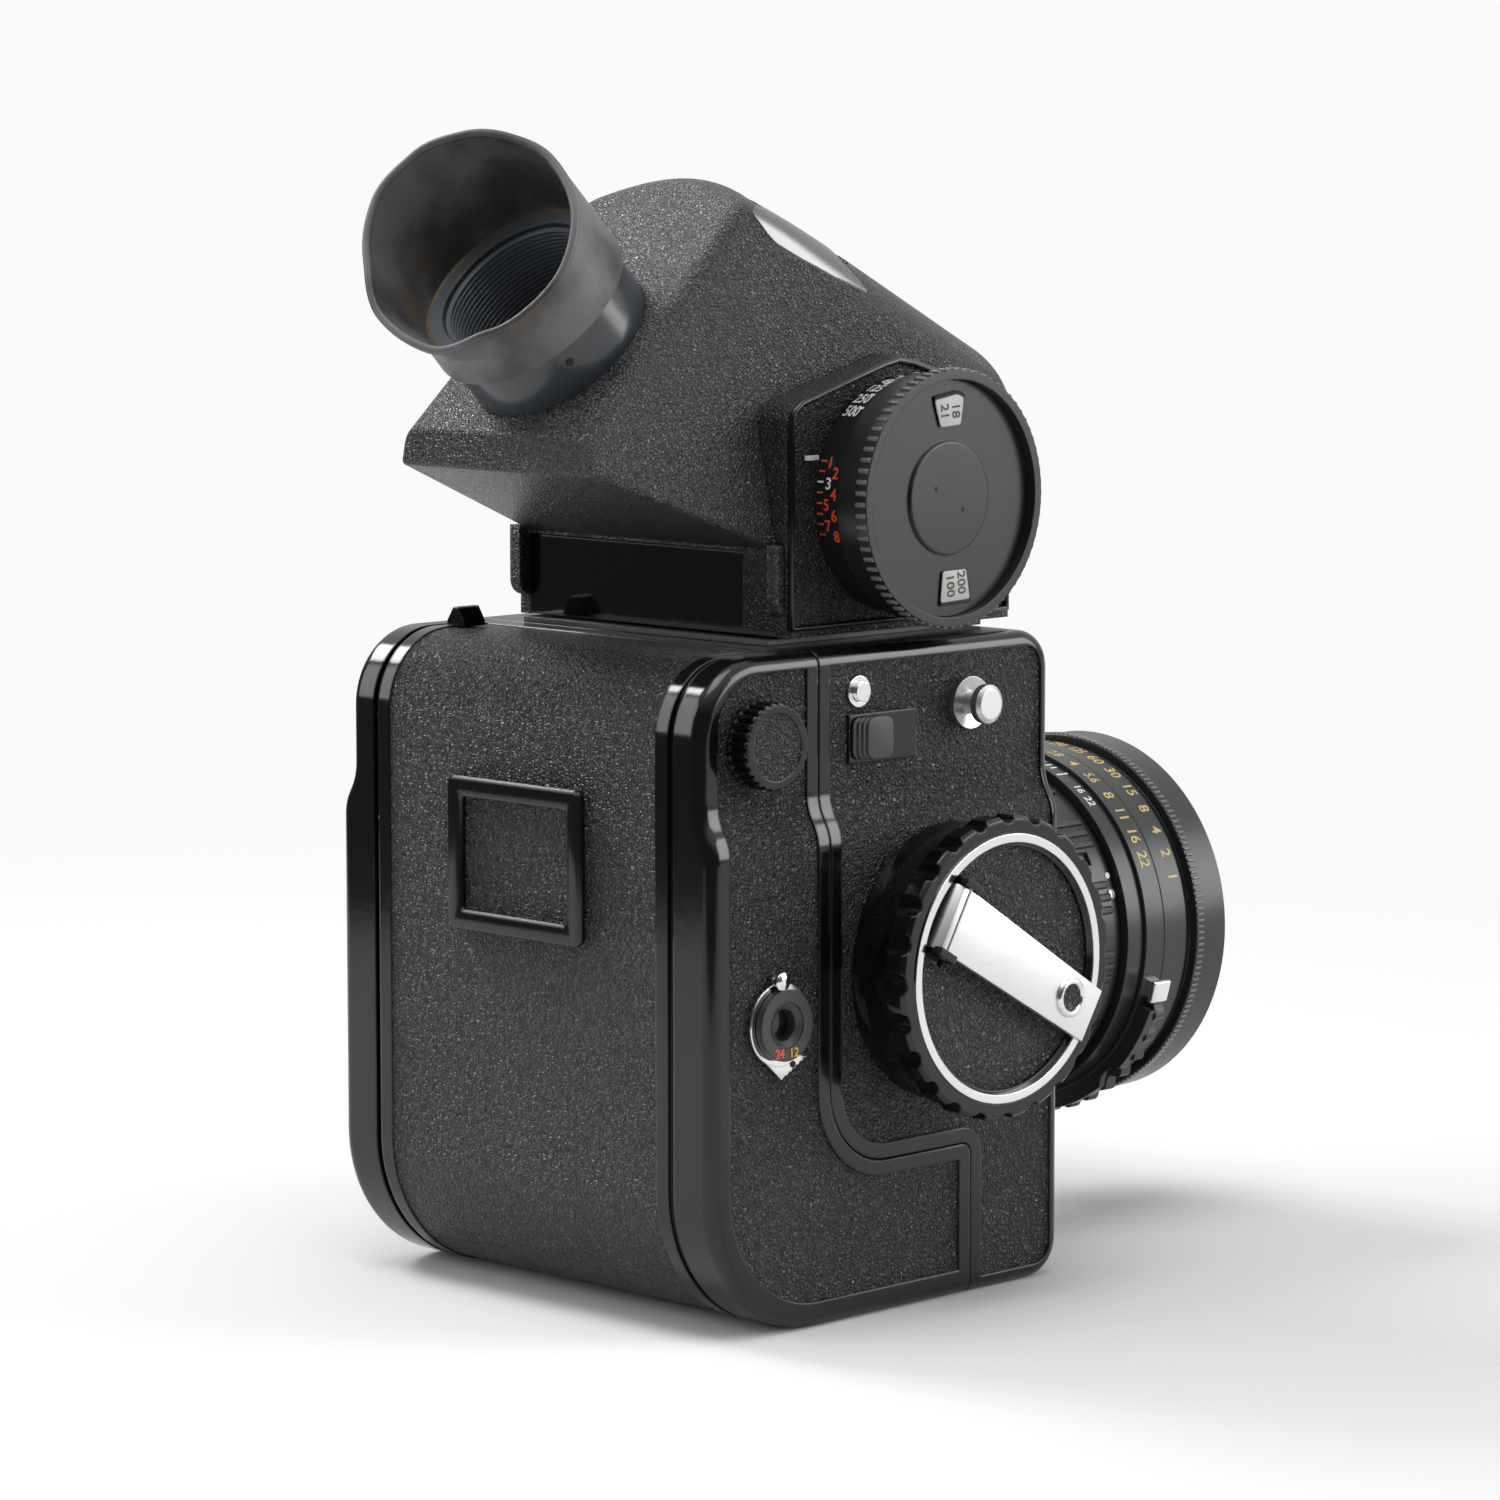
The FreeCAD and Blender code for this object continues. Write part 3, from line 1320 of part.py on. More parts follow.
def buildFinder():
    lean = FreeCAD.Rotation(FreeCAD.Vector(0, 0, 1), FreeCAD.Vector(0, 1, 1))
    eyeRise = (size("eyeBehind") + "overhang") * tangent("rearSlope")
    eyeAt = (0, behind("eyeBehind"), size("stripHigh") + eyeRise)
    roof = rounded("finderRoof", finderBlank("finderBlank", 0), [
        (roofEdge, "crownRound", "roofRound"), (rearEdge, "rearRound", "rearRound"),
        (crownEdge, "crownRound", "crownRound")])
    strip = rounded("finderStrip", roof, [(stripEdge, "stripRound", "stripRound")])
    outer = shared("finderOuter", strip, slab("finderBrow", "side", finderBrow(0), -beyond, beyond))
    inner = shared("finderInner", finderBlank("finderInnerBlank", "finderWall"),
                   slab("finderInnerBrow", "side", finderBrow("finderWall"), -beyond, beyond))
    belly = block("finderBelly",
                  (-size("finderWindow"), frontFace + "windowAhead", 0),
                  ("finderWindow", seamFace - "windowBehind", size("plateTop")))
    eyeHole = rod("finderEyeHole", "up", eyeAt, "tubeRadius", -12, beyond, lean)
    plateBedFront = behind("finderRear") - "rearPlateThick" - "rearPlateGap"
    plateBed = block("rearPlateBed",
                     (-size("rearPlateHalf") - 0.05, plateBedFront, 0),
                     (size("rearPlateHalf") + 0.05, beyond, size("plateTop") - 0.5))
    dialAt = (0, behind("dialBehind"), "dialHeight")
    dialHole = rod("dialHole", "right", dialAt, size("dialShaft") + "dialFit", 0, beyond)
    nameBed = onRoof("namePlateBed", outer, "namePlateThick", 0)
    wingRear = behind("finderRear") + "wingReach"
    wingTop = size("plateTop") + 1
    bend = size("wingRadius")
    wings = slab("finderWings", "side", [
        (behind("finderRear") - 1, "wingLow"), (wingRear - bend, "wingLow"),
        (wingRear, size("wingLow") + bend, bend), (wingRear, wingTop), (behind("finderRear") - 1, wingTop)],
        -size("finderHalf"), "finderHalf")
    between = size("rearPlateHalf") + 0.1
    gap = block("wingGap", (-between, -beyond, -beyond), (between, beyond, beyond))
    wings = cut("finderWingPair", wings, gap)
    floor = size("bodyTop") + "finderFloor"
    hollow = cut("finderHollow", inner, block("finderFoot", (-beyond, -beyond, 0), (beyond, beyond, floor)))
    body = cut("finderBody", outer, hollow, belly, eyeHole, plateBed, dialHole, nameBed)
    node(fused("finder_housing", body, wings))
    node(onRoof("name_plate", outer, size("namePlateThick") - 0.05, 0.05))
    plateLow = size("bodyTop") + "seatRise" + 0.4
    node(block("finder_rear_plate",
               (-size("rearPlateHalf"), behind("finderRear") - "rearPlateThick", plateLow),
               ("rearPlateHalf", behind("finderRear"), size("plateTop") - 0.6)))
    foot = block("prismFootPlate",
                 (-size("prismFoot"), frontFace + 10, floor),
                 ("prismFoot", seamFace - 6, floor + "prismRise"))
    low = floor + size("prismRise") / 2
    prism = slab("prismBlock", "side", [
        (frontFace + 14, low), (seamFace - 12, low), (seamFace - 8, low + "prismBack"),
        (seamFace - 2, low + "prismTall"), (frontFace + 26, low + "prismTall"),
        (frontFace + 14, low + size("prismBack") - 2)],
        -size("prismHalf"), "prismHalf")
    node(fused("finder_prism", foot, prism))
    return fused("finderSolid", outer, wings), lean, eyeAt, dialAt


def buildMeter(outer, dialAt):
    face = size("finderHalf")
    low = face - "meterDeep"
    top = face + "meterThick"
    shaftHole = rod("meterShaftHole", "right", dialAt, size("dialShaft") + "dialFit", 0, beyond)
    front, rear = behind("meterFront"), behind("meterRear")
    panel = slab("meterPanel", "side", [
        (rear, "meterLow"), (rear, size("meterShoulder") - 4), (rear - 4, "meterShoulder", 4.4),
        (behind("dialBehind"), "meterHigh"), (front + 8, size("meterShoulder") + 1),
        (front, size("meterShoulder") - 8, 11), (front, "meterLow")], -top, -low)
    node(cut("meter_housing", panel, outer, shaftHole))
    scaleTop = top + 0.15 + "scaleTall"
    bandTop = scaleTop + "bandTall"
    rim = bandTop + "knurlTall"
    floor = rim - "dialSink" - "dialFaceThick"
    wallInner = size("knurlRadius") - "dialRim"
    node(turned("meter_dial", "right", dialAt, [
        (0, face - 8), ("dialShaft", face - 8), ("dialShaft", top + 0.15), ("scaleRadius", top + 0.15),
        ("scaleRadius", scaleTop), ("bandRadius", scaleTop + 0.3), ("bandRadius", bandTop),
        ("knurlRadius", bandTop), ("knurlRadius", rim),
        (wallInner, rim), (wallInner, floor), ("dialShaft", floor), ("dialShaft", floor + 0.5),
        (0, floor + 0.5)]))
    discTop = floor + 0.05 + "dialFaceThick"
    disc = turned("dialDisc", "right", dialAt, [
        (size("dialShaft") + "dialFit", floor + 0.05), (wallInner - "dialFit", floor + 0.05),
        (wallInner - "dialFit", discTop), ("dialCapRadius", discTop),
        ("dialCapRadius", discTop + "dialCapRise"), (0, discTop + "dialCapRise"),
        (0, floor + 0.56), (size("dialShaft") + "dialFit", floor + 0.56)])
    spanners = []
    for number, side in enumerate((-1, 1)):
        at = (0, dialAt[1] + size("spannerReach") * side, dialAt[2])
        spanners.append(rod("spannerHole%d" % number, "right", at, "spannerRadius",
                            discTop - 0.3, discTop + 2))
    node(cut("dial_face", disc, *spanners))


def buildEyepiece(lean, at):
    node(ring("eyepiece_tube", "up", at, "tubeBore", "tubeRadius", -size("tubeSunk") - 3, "tubeTall", lean))
    node(rod("eyepiece_glass", "up", at, size("tubeBore") - 0.03, -size("tubeSunk") - 2,
             -size("tubeSunk") - 2 + "eyeGlassThick", lean))
    inner = size("tubeRadius") + 0.02
    start, end = size("cupStart"), size("cupEnd")
    wall = size("cupWall")
    top = size("tubeTall")
    cup = turned("eyecupBlank", "up", at, [
        (inner, start), ("cupWaist", start), (size("cupWaist") + 0.2, top), ("cupMouth", end),
        (size("cupMouth") - wall, end), (inner, top + 0.4)], lean)
    tilt = FreeCAD.Rotation(FreeCAD.Vector(0, 0, 1), FreeCAD.Vector(
        -size("cupSideLean").value, size("cupRiseLean").value, 1))
    steep = root(1 + size("cupSideLean") * "cupSideLean" + size("cupRiseLean") * "cupRiseLean")
    mouth = rod("eyecupMouth", "up", at, beyond, size("cupMiddle") / steep, beyond, lean.multiply(tilt))
    node(cut("eyecup", cup, mouth))


def buildLens():
    at = (0, frontFace, "lensHeight")
    fit = size("runningFit")
    node(turned("lens_mount_ring", "lens", at, [
        ("throatRadius", -size("bodyWall")), (size("throatRadius") + 2.95, -size("bodyWall")),
        (size("throatRadius") + 2.95, 0), ("mountRing", 0), ("mountRing", "mountThick"),
        ("throatRadius", "mountThick")]))
    node(ring("lens_barrel", "lens", at, "barrelInner", "barrelOuter", "mountThick", "barrelLong"))
    focus = ring("focusing_ring", "lens", at, size("barrelOuter") + fit, "focusRadius",
                 "focusStart", "focusEnd")
    node(notched(focus, "focusRibs", size("focusRadius") + 0.7, "ribNotch",
                 size("focusStart") - 1, size("focusEnd") - 4))
    start = size("focusEnd") + "frontGap"
    gap = size("ringGap")
    node(turned("index_barrel", "lens", at, [
        ("innerBore", 12), ("innerTube", 12), ("innerTube", start), ("indexRadius", start),
        ("indexRadius", "indexEnd"), ("ringCore", "indexEnd"), ("ringCore", size("shutterEnd") + gap + gap),
        ("innerBore", size("shutterEnd") + gap + gap)]))
    apertureLow = size("indexEnd") + gap
    lobes = ring("lobeRing", "lens", at, size("scaleRingRadius") - 1, "lobeRadius",
                 apertureLow + 0.6, apertureLow + 0.6 + "lobeThick")
    notched(lobes, 11, size("lobeRadius") + 2.6, 4.2, apertureLow, apertureLow + 6)
    spread = size("lobeSpread")
    sector = slab("lobeSector", "front", [
        (0, 0), (-60 * sine(spread), -60 * cosine(spread)), (-60, -90), (60, -90),
        (60 * sine(spread), -60 * cosine(spread))], -beyond, beyond, (0, 0, "lensHeight"))
    node(fused("aperture_ring",
               ring("apertureBand", "lens", at, size("ringCore") + fit, "scaleRingRadius",
                    apertureLow, "apertureEnd"),
               shared("apertureLobes", lobes, sector)))
    node(ring("shutter_ring", "lens", at, size("ringCore") + fit, "scaleRingRadius",
              size("apertureEnd") + gap, "shutterEnd"))
    rimLow = size("shutterEnd") + gap
    seat = rimLow + 0.5
    node(turned("front_rim", "lens", at, [
        (size("ringCore") + 0.02, rimLow), ("grooveRadius", rimLow), ("grooveRadius", rimLow + "grooveWide"),
        ("rimRadius", rimLow + "grooveWide"), ("rimRadius", size("lensLong") - 0.8),
        (size("rimRadius") - 0.8, "lensLong"), ("filterRadius", "lensLong"),
        ("filterRadius", size("lensLong") - "filterDeep"), ("rimBore", size("lensLong") - "filterDeep"),
        ("rimBore", seat + 2), ("innerBore", seat + 2), ("innerBore", seat),
        (size("ringCore") + 0.02, seat)]))
    glassLow = seat + 2.02
    edge = glassLow + 1.2
    crown = size("frontGlassThick") - 1.2
    reach = size("frontGlassRadius")
    bend = (reach * reach + crown * crown) / (2 * crown)
    node(turned("front_glass", "lens", at, [
        (0, glassLow), (reach, glassLow), (reach, edge), (0, edge + crown, bend)]))


buildBody()
buildBodyControls()
buildReflex()
buildWinder()
buildBack()
buildInsert()
finderOuter, leanTurn, eyeSpot, dialSpot = buildFinder()
buildMeter(finderOuter, dialSpot)
buildEyepiece(leanTurn, eyeSpot)
buildLens()

doc.recompute()

for thing in doc.Objects:
    if "Invalid" in thing.State or "Error" in thing.State:
        raise RuntimeError("%s did not recompute: %s" % (thing.Label, thing.State))
for thing in nodes:
    shape = thing.Shape
    if shape.isNull() or not shape.isValid() or not shape.Solids:
        raise RuntimeError("%s has no valid solid" % thing.Label)

os.makedirs("parts", exist_ok=True)
for thing in nodes:
    thing.Shape.exportStep(os.path.join("parts", thing.Label + ".step"))
    print("%-24s %2d solids %10.1f mm3" % (thing.Label, len(thing.Shape.Solids), thing.Shape.Volume))
print("%d nodes" % len(nodes))
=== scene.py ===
import bpy
import json
import math
from mathutils import Matrix, Vector


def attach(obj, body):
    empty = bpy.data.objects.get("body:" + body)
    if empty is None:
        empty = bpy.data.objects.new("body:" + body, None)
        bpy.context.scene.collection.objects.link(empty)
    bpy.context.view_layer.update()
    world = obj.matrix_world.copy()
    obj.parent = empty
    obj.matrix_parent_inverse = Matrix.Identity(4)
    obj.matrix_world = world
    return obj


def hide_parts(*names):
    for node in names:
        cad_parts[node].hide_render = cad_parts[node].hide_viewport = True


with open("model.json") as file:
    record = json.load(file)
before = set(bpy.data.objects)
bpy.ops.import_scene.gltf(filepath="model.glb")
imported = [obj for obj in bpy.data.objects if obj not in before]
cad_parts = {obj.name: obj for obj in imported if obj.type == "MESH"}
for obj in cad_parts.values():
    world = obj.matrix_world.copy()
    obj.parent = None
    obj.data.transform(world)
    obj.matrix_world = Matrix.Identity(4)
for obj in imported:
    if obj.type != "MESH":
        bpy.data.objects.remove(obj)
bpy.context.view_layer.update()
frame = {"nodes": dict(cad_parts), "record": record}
nodes = frame["nodes"]
mm = 0.001
print("camera solids loaded:", len(nodes))

# The way each turned piece's own Z axis points.
wayRight = Vector((-1, 0, 0))
wayLens = Vector((0, -1, 0))
wayEye = Vector((0, 1, 1)).normalized()


class Wire:
    # A material's socket, so that sums of sockets are written as plain Python.
    def __init__(self, tree, socket=None):
        self.tree = tree
        self.socket = socket

    def node(self, kind, settings, inputs, output=0):
        made = self.tree.nodes.new(kind)
        for name, value in settings.items():
            setattr(made, name, value)
        for name, value in inputs.items():
            if isinstance(value, Wire):
                self.tree.links.new(value.socket, made.inputs[name])
            else:
                made.inputs[name].default_value = value
        return Wire(self.tree, made.outputs[output])

    def maths(self, operation, *values):
        return self.node("ShaderNodeMath", {"operation": operation}, dict(enumerate(values)))

    def __add__(self, other):
        return self.maths("ADD", self, other)

    def __sub__(self, other):
        return self.maths("SUBTRACT", self, other)

    def __mul__(self, other):
        return self.maths("MULTIPLY", self, other)

    def __radd__(self, other):
        return self.maths("ADD", other, self)

    def __rsub__(self, other):
        return self.maths("SUBTRACT", other, self)

    def __rmul__(self, other):
        return self.maths("MULTIPLY", other, self)

    def ramp(self, low, high):
        # 0 below low, 1 above high, smooth between.
        return self.node("ShaderNodeMapRange", {"interpolation_type": "SMOOTHSTEP"},
                         {"Value": self, "From Min": low, "From Max": high})

    def spot(self):
        return self.node("ShaderNodeTexCoord", {}, {}, "Object")

    def noise(self, scale, detail=3.0, at=None):
        return self.node("ShaderNodeTexNoise", {},
                         {"Vector": at or self.spot(), "Scale": scale, "Detail": detail}, "Fac")

    def mix(self, amount, first, second):
        return self.node("ShaderNodeMix", {"data_type": "RGBA"}, {0: amount, 6: first, 7: second}, 2)

    def softEdge(self, radius):
        return self.node("ShaderNodeBevel", {"samples": 4}, {"Radius": radius})

    def edgeWear(self, radius):
        # 1 on the outer edges of a piece, 0 on its flats.
        flat = self.node("ShaderNodeNewGeometry", {}, {}, "Normal")
        likeness = self.node("ShaderNodeVectorMath", {"operation": "DOT_PRODUCT"},
                             {0: self.softEdge(radius), 1: flat}, "Value")
        return (1.0 - likeness).ramp(0.02, 0.2)

    def bump(self, height, strength, distance, normal=None):
        inputs = {"Height": height, "Strength": strength, "Distance": distance}
        if normal:
            inputs["Normal"] = normal
        return self.node("ShaderNodeBump", {}, inputs)


def newFinish(name, **plain):
    finish = bpy.data.materials.new(name)
    finish.use_nodes = True
    shader = finish.node_tree.nodes["Principled BSDF"]
    for socket, value in plain.items():
        shader.inputs[socket.replace("_", " ")].default_value = value
    return finish, Wire(finish.node_tree), shader


def feed(wire, shader, links):
    for socket, source in links.items():
        wire.tree.links.new(source.socket, shader.inputs[socket])


def grey(level, tint=0.0):
    return (level * (1 + tint), level, level * (1 - tint), 1.0)


leather = {
    "pebble": 0.74 * mm,
    "depth": 0.62 * mm,
    "tops": grey(0.046, -0.02),
    # Painted shade: the creases between the pebbles are coloured far darker than the tops, where shade falls.
    "creaseShade": grey(0.004, 0.0),
}


def pebbles(wire, size, warp):
    # Rounded, crumpled cells with creases between them, as height from 0 to 1.
    place = wire.spot()
    stir = wire.node("ShaderNodeTexNoise", {},
                     {"Vector": place, "Scale": 0.55 / size, "Detail": 1.0}, "Color")
    shift = wire.node("ShaderNodeVectorMath", {"operation": "MULTIPLY_ADD"},
                      {0: stir, 1: (warp,) * 3, 2: place}, "Vector")
    edges = wire.node("ShaderNodeTexVoronoi", {"feature": "DISTANCE_TO_EDGE"},
                      {"Vector": shift, "Scale": 0.95 / size}, "Distance")
    folds = wire.node("ShaderNodeTexNoise", {}, {"Vector": shift, "Scale": 0.9 / size, "Detail": 1.0}, "Fac")
    return edges.ramp(0.0, 0.3) * 0.6 + folds.ramp(0.3, 0.7) * 0.4


def pebbledLeather(name, size=leather["pebble"], tops=leather["tops"]):
    finish, wire, shader = newFinish(name)
    height = pebbles(wire, size, 1.5 * mm)
    patches = wire.noise(42.0, 3.0)
    rubbed = wire.noise(160.0, 4.0).ramp(0.6, 0.85)
    # Painted shade: the colour darkens from the pebble tops into the creases between them.
    colour = wire.mix(height.ramp(0.15, 0.9), leather["creaseShade"], tops)
    dusty = wire.mix(patches.ramp(0.5, 0.85) * 0.1 + rubbed * 0.08, colour, grey(0.08, 0.03))
    feed(wire, shader, {
        "Base Color": dusty,
        "Roughness": 0.34 - height * 0.12 + patches * 0.1,
        "Normal": wire.bump(height, 1.0, leather["depth"]),
    })
    return finish


enamel = {
    "black": grey(0.0035, 0.03),
    "worn": (0.13, 0.105, 0.085, 1.0),
    "chip": (0.62, 0.57, 0.5, 1.0),
    "round": 0.6 * mm,
}


def glossEnamel(name, wear=0.5, rough=0.07):
    finish, wire, shader = newFinish(name)
    edge = wire.edgeWear(0.3 * mm)
    rubbed = edge * wire.noise(240.0, 5.0).ramp(0.66 - wear * 0.16, 0.82)
    chips = edge * wire.noise(520.0, 2.0).ramp(0.735 - wear * 0.03, 0.76)
    dust = wire.noise(900.0, 6.0).ramp(0.7, 0.9)
    colour = wire.mix(rubbed * 0.6, enamel["black"], enamel["worn"])
    colour = wire.mix(dust * 0.035, colour, grey(0.4, 0.05))
    colour = wire.mix(chips, colour, enamel["chip"])
    rough = rough + wire.noise(70.0, 5.0) * 0.08 + rubbed * 0.2 + dust * 0.15
    feed(wire, shader, {
        "Base Color": colour,
        "Roughness": rough,
        "Normal": wire.bump(wire.noise(330.0, 2.0), 0.1, 0.1 * mm, wire.softEdge(enamel["round"])),
    })
    return finish


grain = {
    "pebble": 0.62 * mm,
    "depth": 0.27 * mm,
    "paint": (0.043, 0.045, 0.050, 1.0),
    # Painted shade: the hollows between the pebbles are coloured darker than the paint, where shade falls.
    "low": (0.010, 0.011, 0.013, 1.0),
    # The bare colour of worn edges, also used for the painted highlight on the pebble tops round the
    # eyepiece.
    "wearAndSheen": (0.27, 0.27, 0.275, 1.0),
    # How strongly the pebble tops on the face round the eyepiece are lightened, a painted highlight standing
    # in for the lamp's glint on them.
    "rubbed": 0.55,
}


def grainedPaint(name, wear=1.0, depth=grain["depth"], tone=1.0):
    finish, wire, shader = newFinish(name)
    height = pebbles(wire, grain["pebble"], 0.7 * mm)
    worn = wire.edgeWear(1.4 * mm) * wire.noise(420.0, 5.0).ramp(0.32, 0.58) * height.ramp(0.25, 0.65)
    normal = wire.node("ShaderNodeTexCoord", {}, {}, "Normal")
    facing = wire.node("ShaderNodeVectorMath", {"operation": "DOT_PRODUCT"},
                       {0: normal, 1: tuple(wayEye)}, "Value")
    # Painted highlight: pebble tops on the face turned toward the eyepiece axis are lightened, as if the lamp
    # glinted on them.
    tops = facing.ramp(0.86, 0.97) * height.ramp(0.4, 0.75) * wire.noise(90.0, 4.0).ramp(0.25, 0.55)
    patches = wire.noise(38.0, 4.0)
    paint = tuple(level * tone for level in grain["paint"][:3]) + (1.0,)
    # Painted shade: the colour darkens from the pebble tops into the hollows between them.
    colour = wire.mix(height, grain["low"], paint)
    # Painted highlight on those pebble tops.
    colour = wire.mix(tops * grain["rubbed"] * wear, colour, grain["wearAndSheen"])
    colour = wire.mix(worn * 0.85 * wear, colour, grain["wearAndSheen"])
    feed(wire, shader, {
        "Base Color": colour,
        "Roughness": 0.33 - height * 0.1 + patches * 0.08,
        "Normal": wire.bump(height, 0.9, depth, wire.softEdge(0.9 * mm)),
    })
    return finish


def satinPaint(name, level=0.035, rough=0.42, tint=-0.04, wear=0.3):
    finish, wire, shader = newFinish(name)
    edge = wire.edgeWear(0.25 * mm)
    rubbed = edge * wire.noise(380.0, 5.0).ramp(0.6 - wear * 0.3, 0.85)
    dust = wire.noise(1400.0, 5.0).ramp(0.62, 0.85)
    patches = wire.noise(45.0, 4.0)
    colour = wire.mix(patches, grey(level * 0.85, tint), grey(level * 1.15, tint))
    colour = wire.mix(rubbed * 0.8, colour, grey(0.3, 0.04))
    colour = wire.mix(dust * 0.05, colour, grey(0.5, 0.05))
    feed(wire, shader, {
        "Base Color": colour,
        "Roughness": rough + patches * 0.1 - 0.05,
        "Normal": wire.bump(wire.noise(2600.0, 3.0), 0.2, 0.02 * mm, wire.softEdge(0.35 * mm)),
    })
    return finish


def bareMetal(name, level, rough, brushed=0.0):
    finish, wire, shader = newFinish(name, Metallic=1.0)
    smudges = wire.noise(120.0, 5.0)
    scratches = wire.noise(3000.0, 3.0)
    dirt = wire.noise(500.0, 4.0).ramp(0.6, 0.85)
    colour = wire.mix(smudges, grey(level * 0.93, 0.01), grey(level, 0.005))
    colour = wire.mix(dirt * 0.2, colour, grey(level * 0.45, 0.08))
    feed(wire, shader, {
        "Base Color": colour,
        "Roughness": rough + smudges * 0.08 + scratches * brushed,
        "Normal": wire.bump(scratches, 0.05 + brushed, 0.02 * mm, wire.softEdge(0.25 * mm)),
    })
    return finish


def clearGlass(name, tint, alpha):
    finish, wire, shader = newFinish(name, IOR=1.5, Coat_Weight=0.6, Coat_Roughness=0.02)
    smudge = wire.noise(90.0, 4.0)
    feed(wire, shader, {
        "Base Color": wire.mix(smudge, tint, grey(0.02)),
        "Roughness": 0.02 + smudge.ramp(0.5, 0.9) * 0.12,
    })
    shader.inputs["Alpha"].default_value = alpha
    return finish


rubber = {
    "grey": (0.135, 0.136, 0.138, 1.0),
    "dark": (0.042, 0.043, 0.046, 1.0),
    "stain": (0.11, 0.072, 0.035, 1.0),
}


def agedRubber(name):
    finish, wire, shader = newFinish(name)
    clouds = wire.noise(60.0, 7.0)
    stains = wire.noise(85.0, 6.0).ramp(0.54, 0.72)
    bloom = wire.edgeWear(0.8 * mm)
    colour = wire.mix(clouds.ramp(0.38, 0.64), rubber["dark"], rubber["grey"])
    colour = wire.mix(stains * 0.6, colour, rubber["stain"])
    colour = wire.mix(bloom * 0.3, colour, grey(0.2, 0.0))
    colour = wire.mix(wire.noise(1500.0, 3.0).ramp(0.68, 0.76) * 0.4, colour, grey(0.3, 0.02))
    feed(wire, shader, {
        "Base Color": colour,
        "Roughness": 0.34 + clouds * 0.25,
        "Normal": wire.bump(wire.noise(500.0, 6.0), 0.4, 0.1 * mm),
    })
    return finish


print("making finishes")
finishes = {
    "body_enamel": glossEnamel("bodyEnamel"),
    "knob_enamel": glossEnamel("knobEnamel", 0.9),
    "name_enamel": glossEnamel("nameEnamel", 0.05),
    "body_leather": pebbledLeather("bodyLeather"),
    "knob_leather": pebbledLeather("knobLeather", 0.8 * mm, grey(0.062)),
    "finder_enamel": grainedPaint("finderPaint"),
    "satin_black": satinPaint("satinBlack"),
    "inner_black": satinPaint("innerBlack", 0.014, 0.75, 0.0, 0.0),
    "spool_black": satinPaint("spoolBlack", 0.02, 0.5, 0.0, 0.0),
    "lens_black": satinPaint("lensBlack", 0.020, 0.3),
    "ring_print": satinPaint("ringBlack", 0.024, 0.3),
    "dial_print": satinPaint("dialBlack", 0.014, 0.3, -0.06, 0.5),
    "dial_face_print": satinPaint("dialFaceGrey", 0.013, 0.3, -0.1),
    "counter_print": satinPaint("counterBlack", 0.03, 0.4, 0.0, 0.0),
    "steel": bareMetal("satinSteel", 0.6, 0.28, 0.1),
    "chrome": bareMetal("chromePlate", 0.82, 0.08),
    "crank_silver": bareMetal("crankSilver", 0.78, 0.3, 0.08),
    "mirror": bareMetal("mirrorSilver", 0.9, 0.01),
    "screen_glass": clearGlass("screenGlass", (0.5, 0.52, 0.55, 1.0), 0.85),
    "prism_glass": clearGlass("prismGlass", (0.3, 0.32, 0.35, 1.0), 0.6),
    "clear_glass": clearGlass("eyeGlass", (0.02, 0.025, 0.03, 1.0), 0.6),
    "coated_glass": clearGlass("coatedGlass", (0.04, 0.02, 0.07, 1.0), 0.75),
    "eyecup_rubber": agedRubber("eyecupRubber"),
    "paleCard": satinPaint("paleCard", 0.5, 0.4, 0.03, 0.0),
    "wornTube": satinPaint("wornTube", 0.052, 0.2, -0.12, 0.3),
    "darkGrain": grainedPaint("meterPaint", 0.12, 0.3 * mm, 0.35),
    "darkGloss": glossEnamel("plateGloss", 0.1, 0.03),
    "brightPlate": bareMetal("brightPlate", 0.2, 0.24, 0.04),
    # The eyepiece's face and thread ridges: a worn blue-grey, painted lighter than that as painted light on
    # the shaded end of the tube and glints on the threads.
    "faceWearAndSheen": satinPaint("faceWearAndSheen", 0.17, 0.28, -0.12, 0.2),
    # The knurl teeth: rubbed edges, and a tone lighter than the black rings which is painted highlight,
    # standing in for their glints.
    "teethWearAndGlint": satinPaint("teethWearAndGlint", 0.13, 0.26, 0.02, 1.0),
}


def printedInk(name, colour):
    finish, wire, shader = newFinish(name, Roughness=0.5)
    faded = tuple(level * 0.72 for level in colour) + (1.0,)
    patches = wire.noise(900.0, 4.0).ramp(0.45, 0.75)
    feed(wire, shader, {"Base Color": wire.mix(patches, colour + (1.0,), faded)})
    return finish


inks = {
    "whiteInk": printedInk("whiteInk", (0.84, 0.84, 0.80)),
    "goldInk": printedInk("goldInk", (0.62, 0.47, 0.20)),
    "redInk": printedInk("redInk", (0.80, 0.085, 0.035)),
    "yellowInk": printedInk("yellowInk", (0.62, 0.42, 0.03)),
    "dirt": printedInk("dirt", (0.14, 0.092, 0.045)),
    "greyInk": printedInk("greyInk", (0.05, 0.055, 0.05)),
}

special = {
    "meter_housing": "darkGrain",
    "finder_rear_plate": "darkGloss",
    "eyepiece_tube": "wornTube",
    "slider_plate": "body_enamel",
}
for part in frame["record"]["subparts"]:
    piece = nodes[part["node"]]
    piece.data.materials.clear()
    piece.data.materials.append(finishes[special.get(part["node"], part["material_slot"])])
    for face in piece.data.polygons:
        face.material_index = 0


def onlyThis(piece):
    bpy.ops.object.select_all(action="DESELECT")
    piece.select_set(True)
    bpy.context.view_layer.objects.active = piece


def applyAll(piece):
    onlyThis(piece)
    for change in list(piece.modifiers):
        bpy.ops.object.modifier_apply(modifier=change.name)


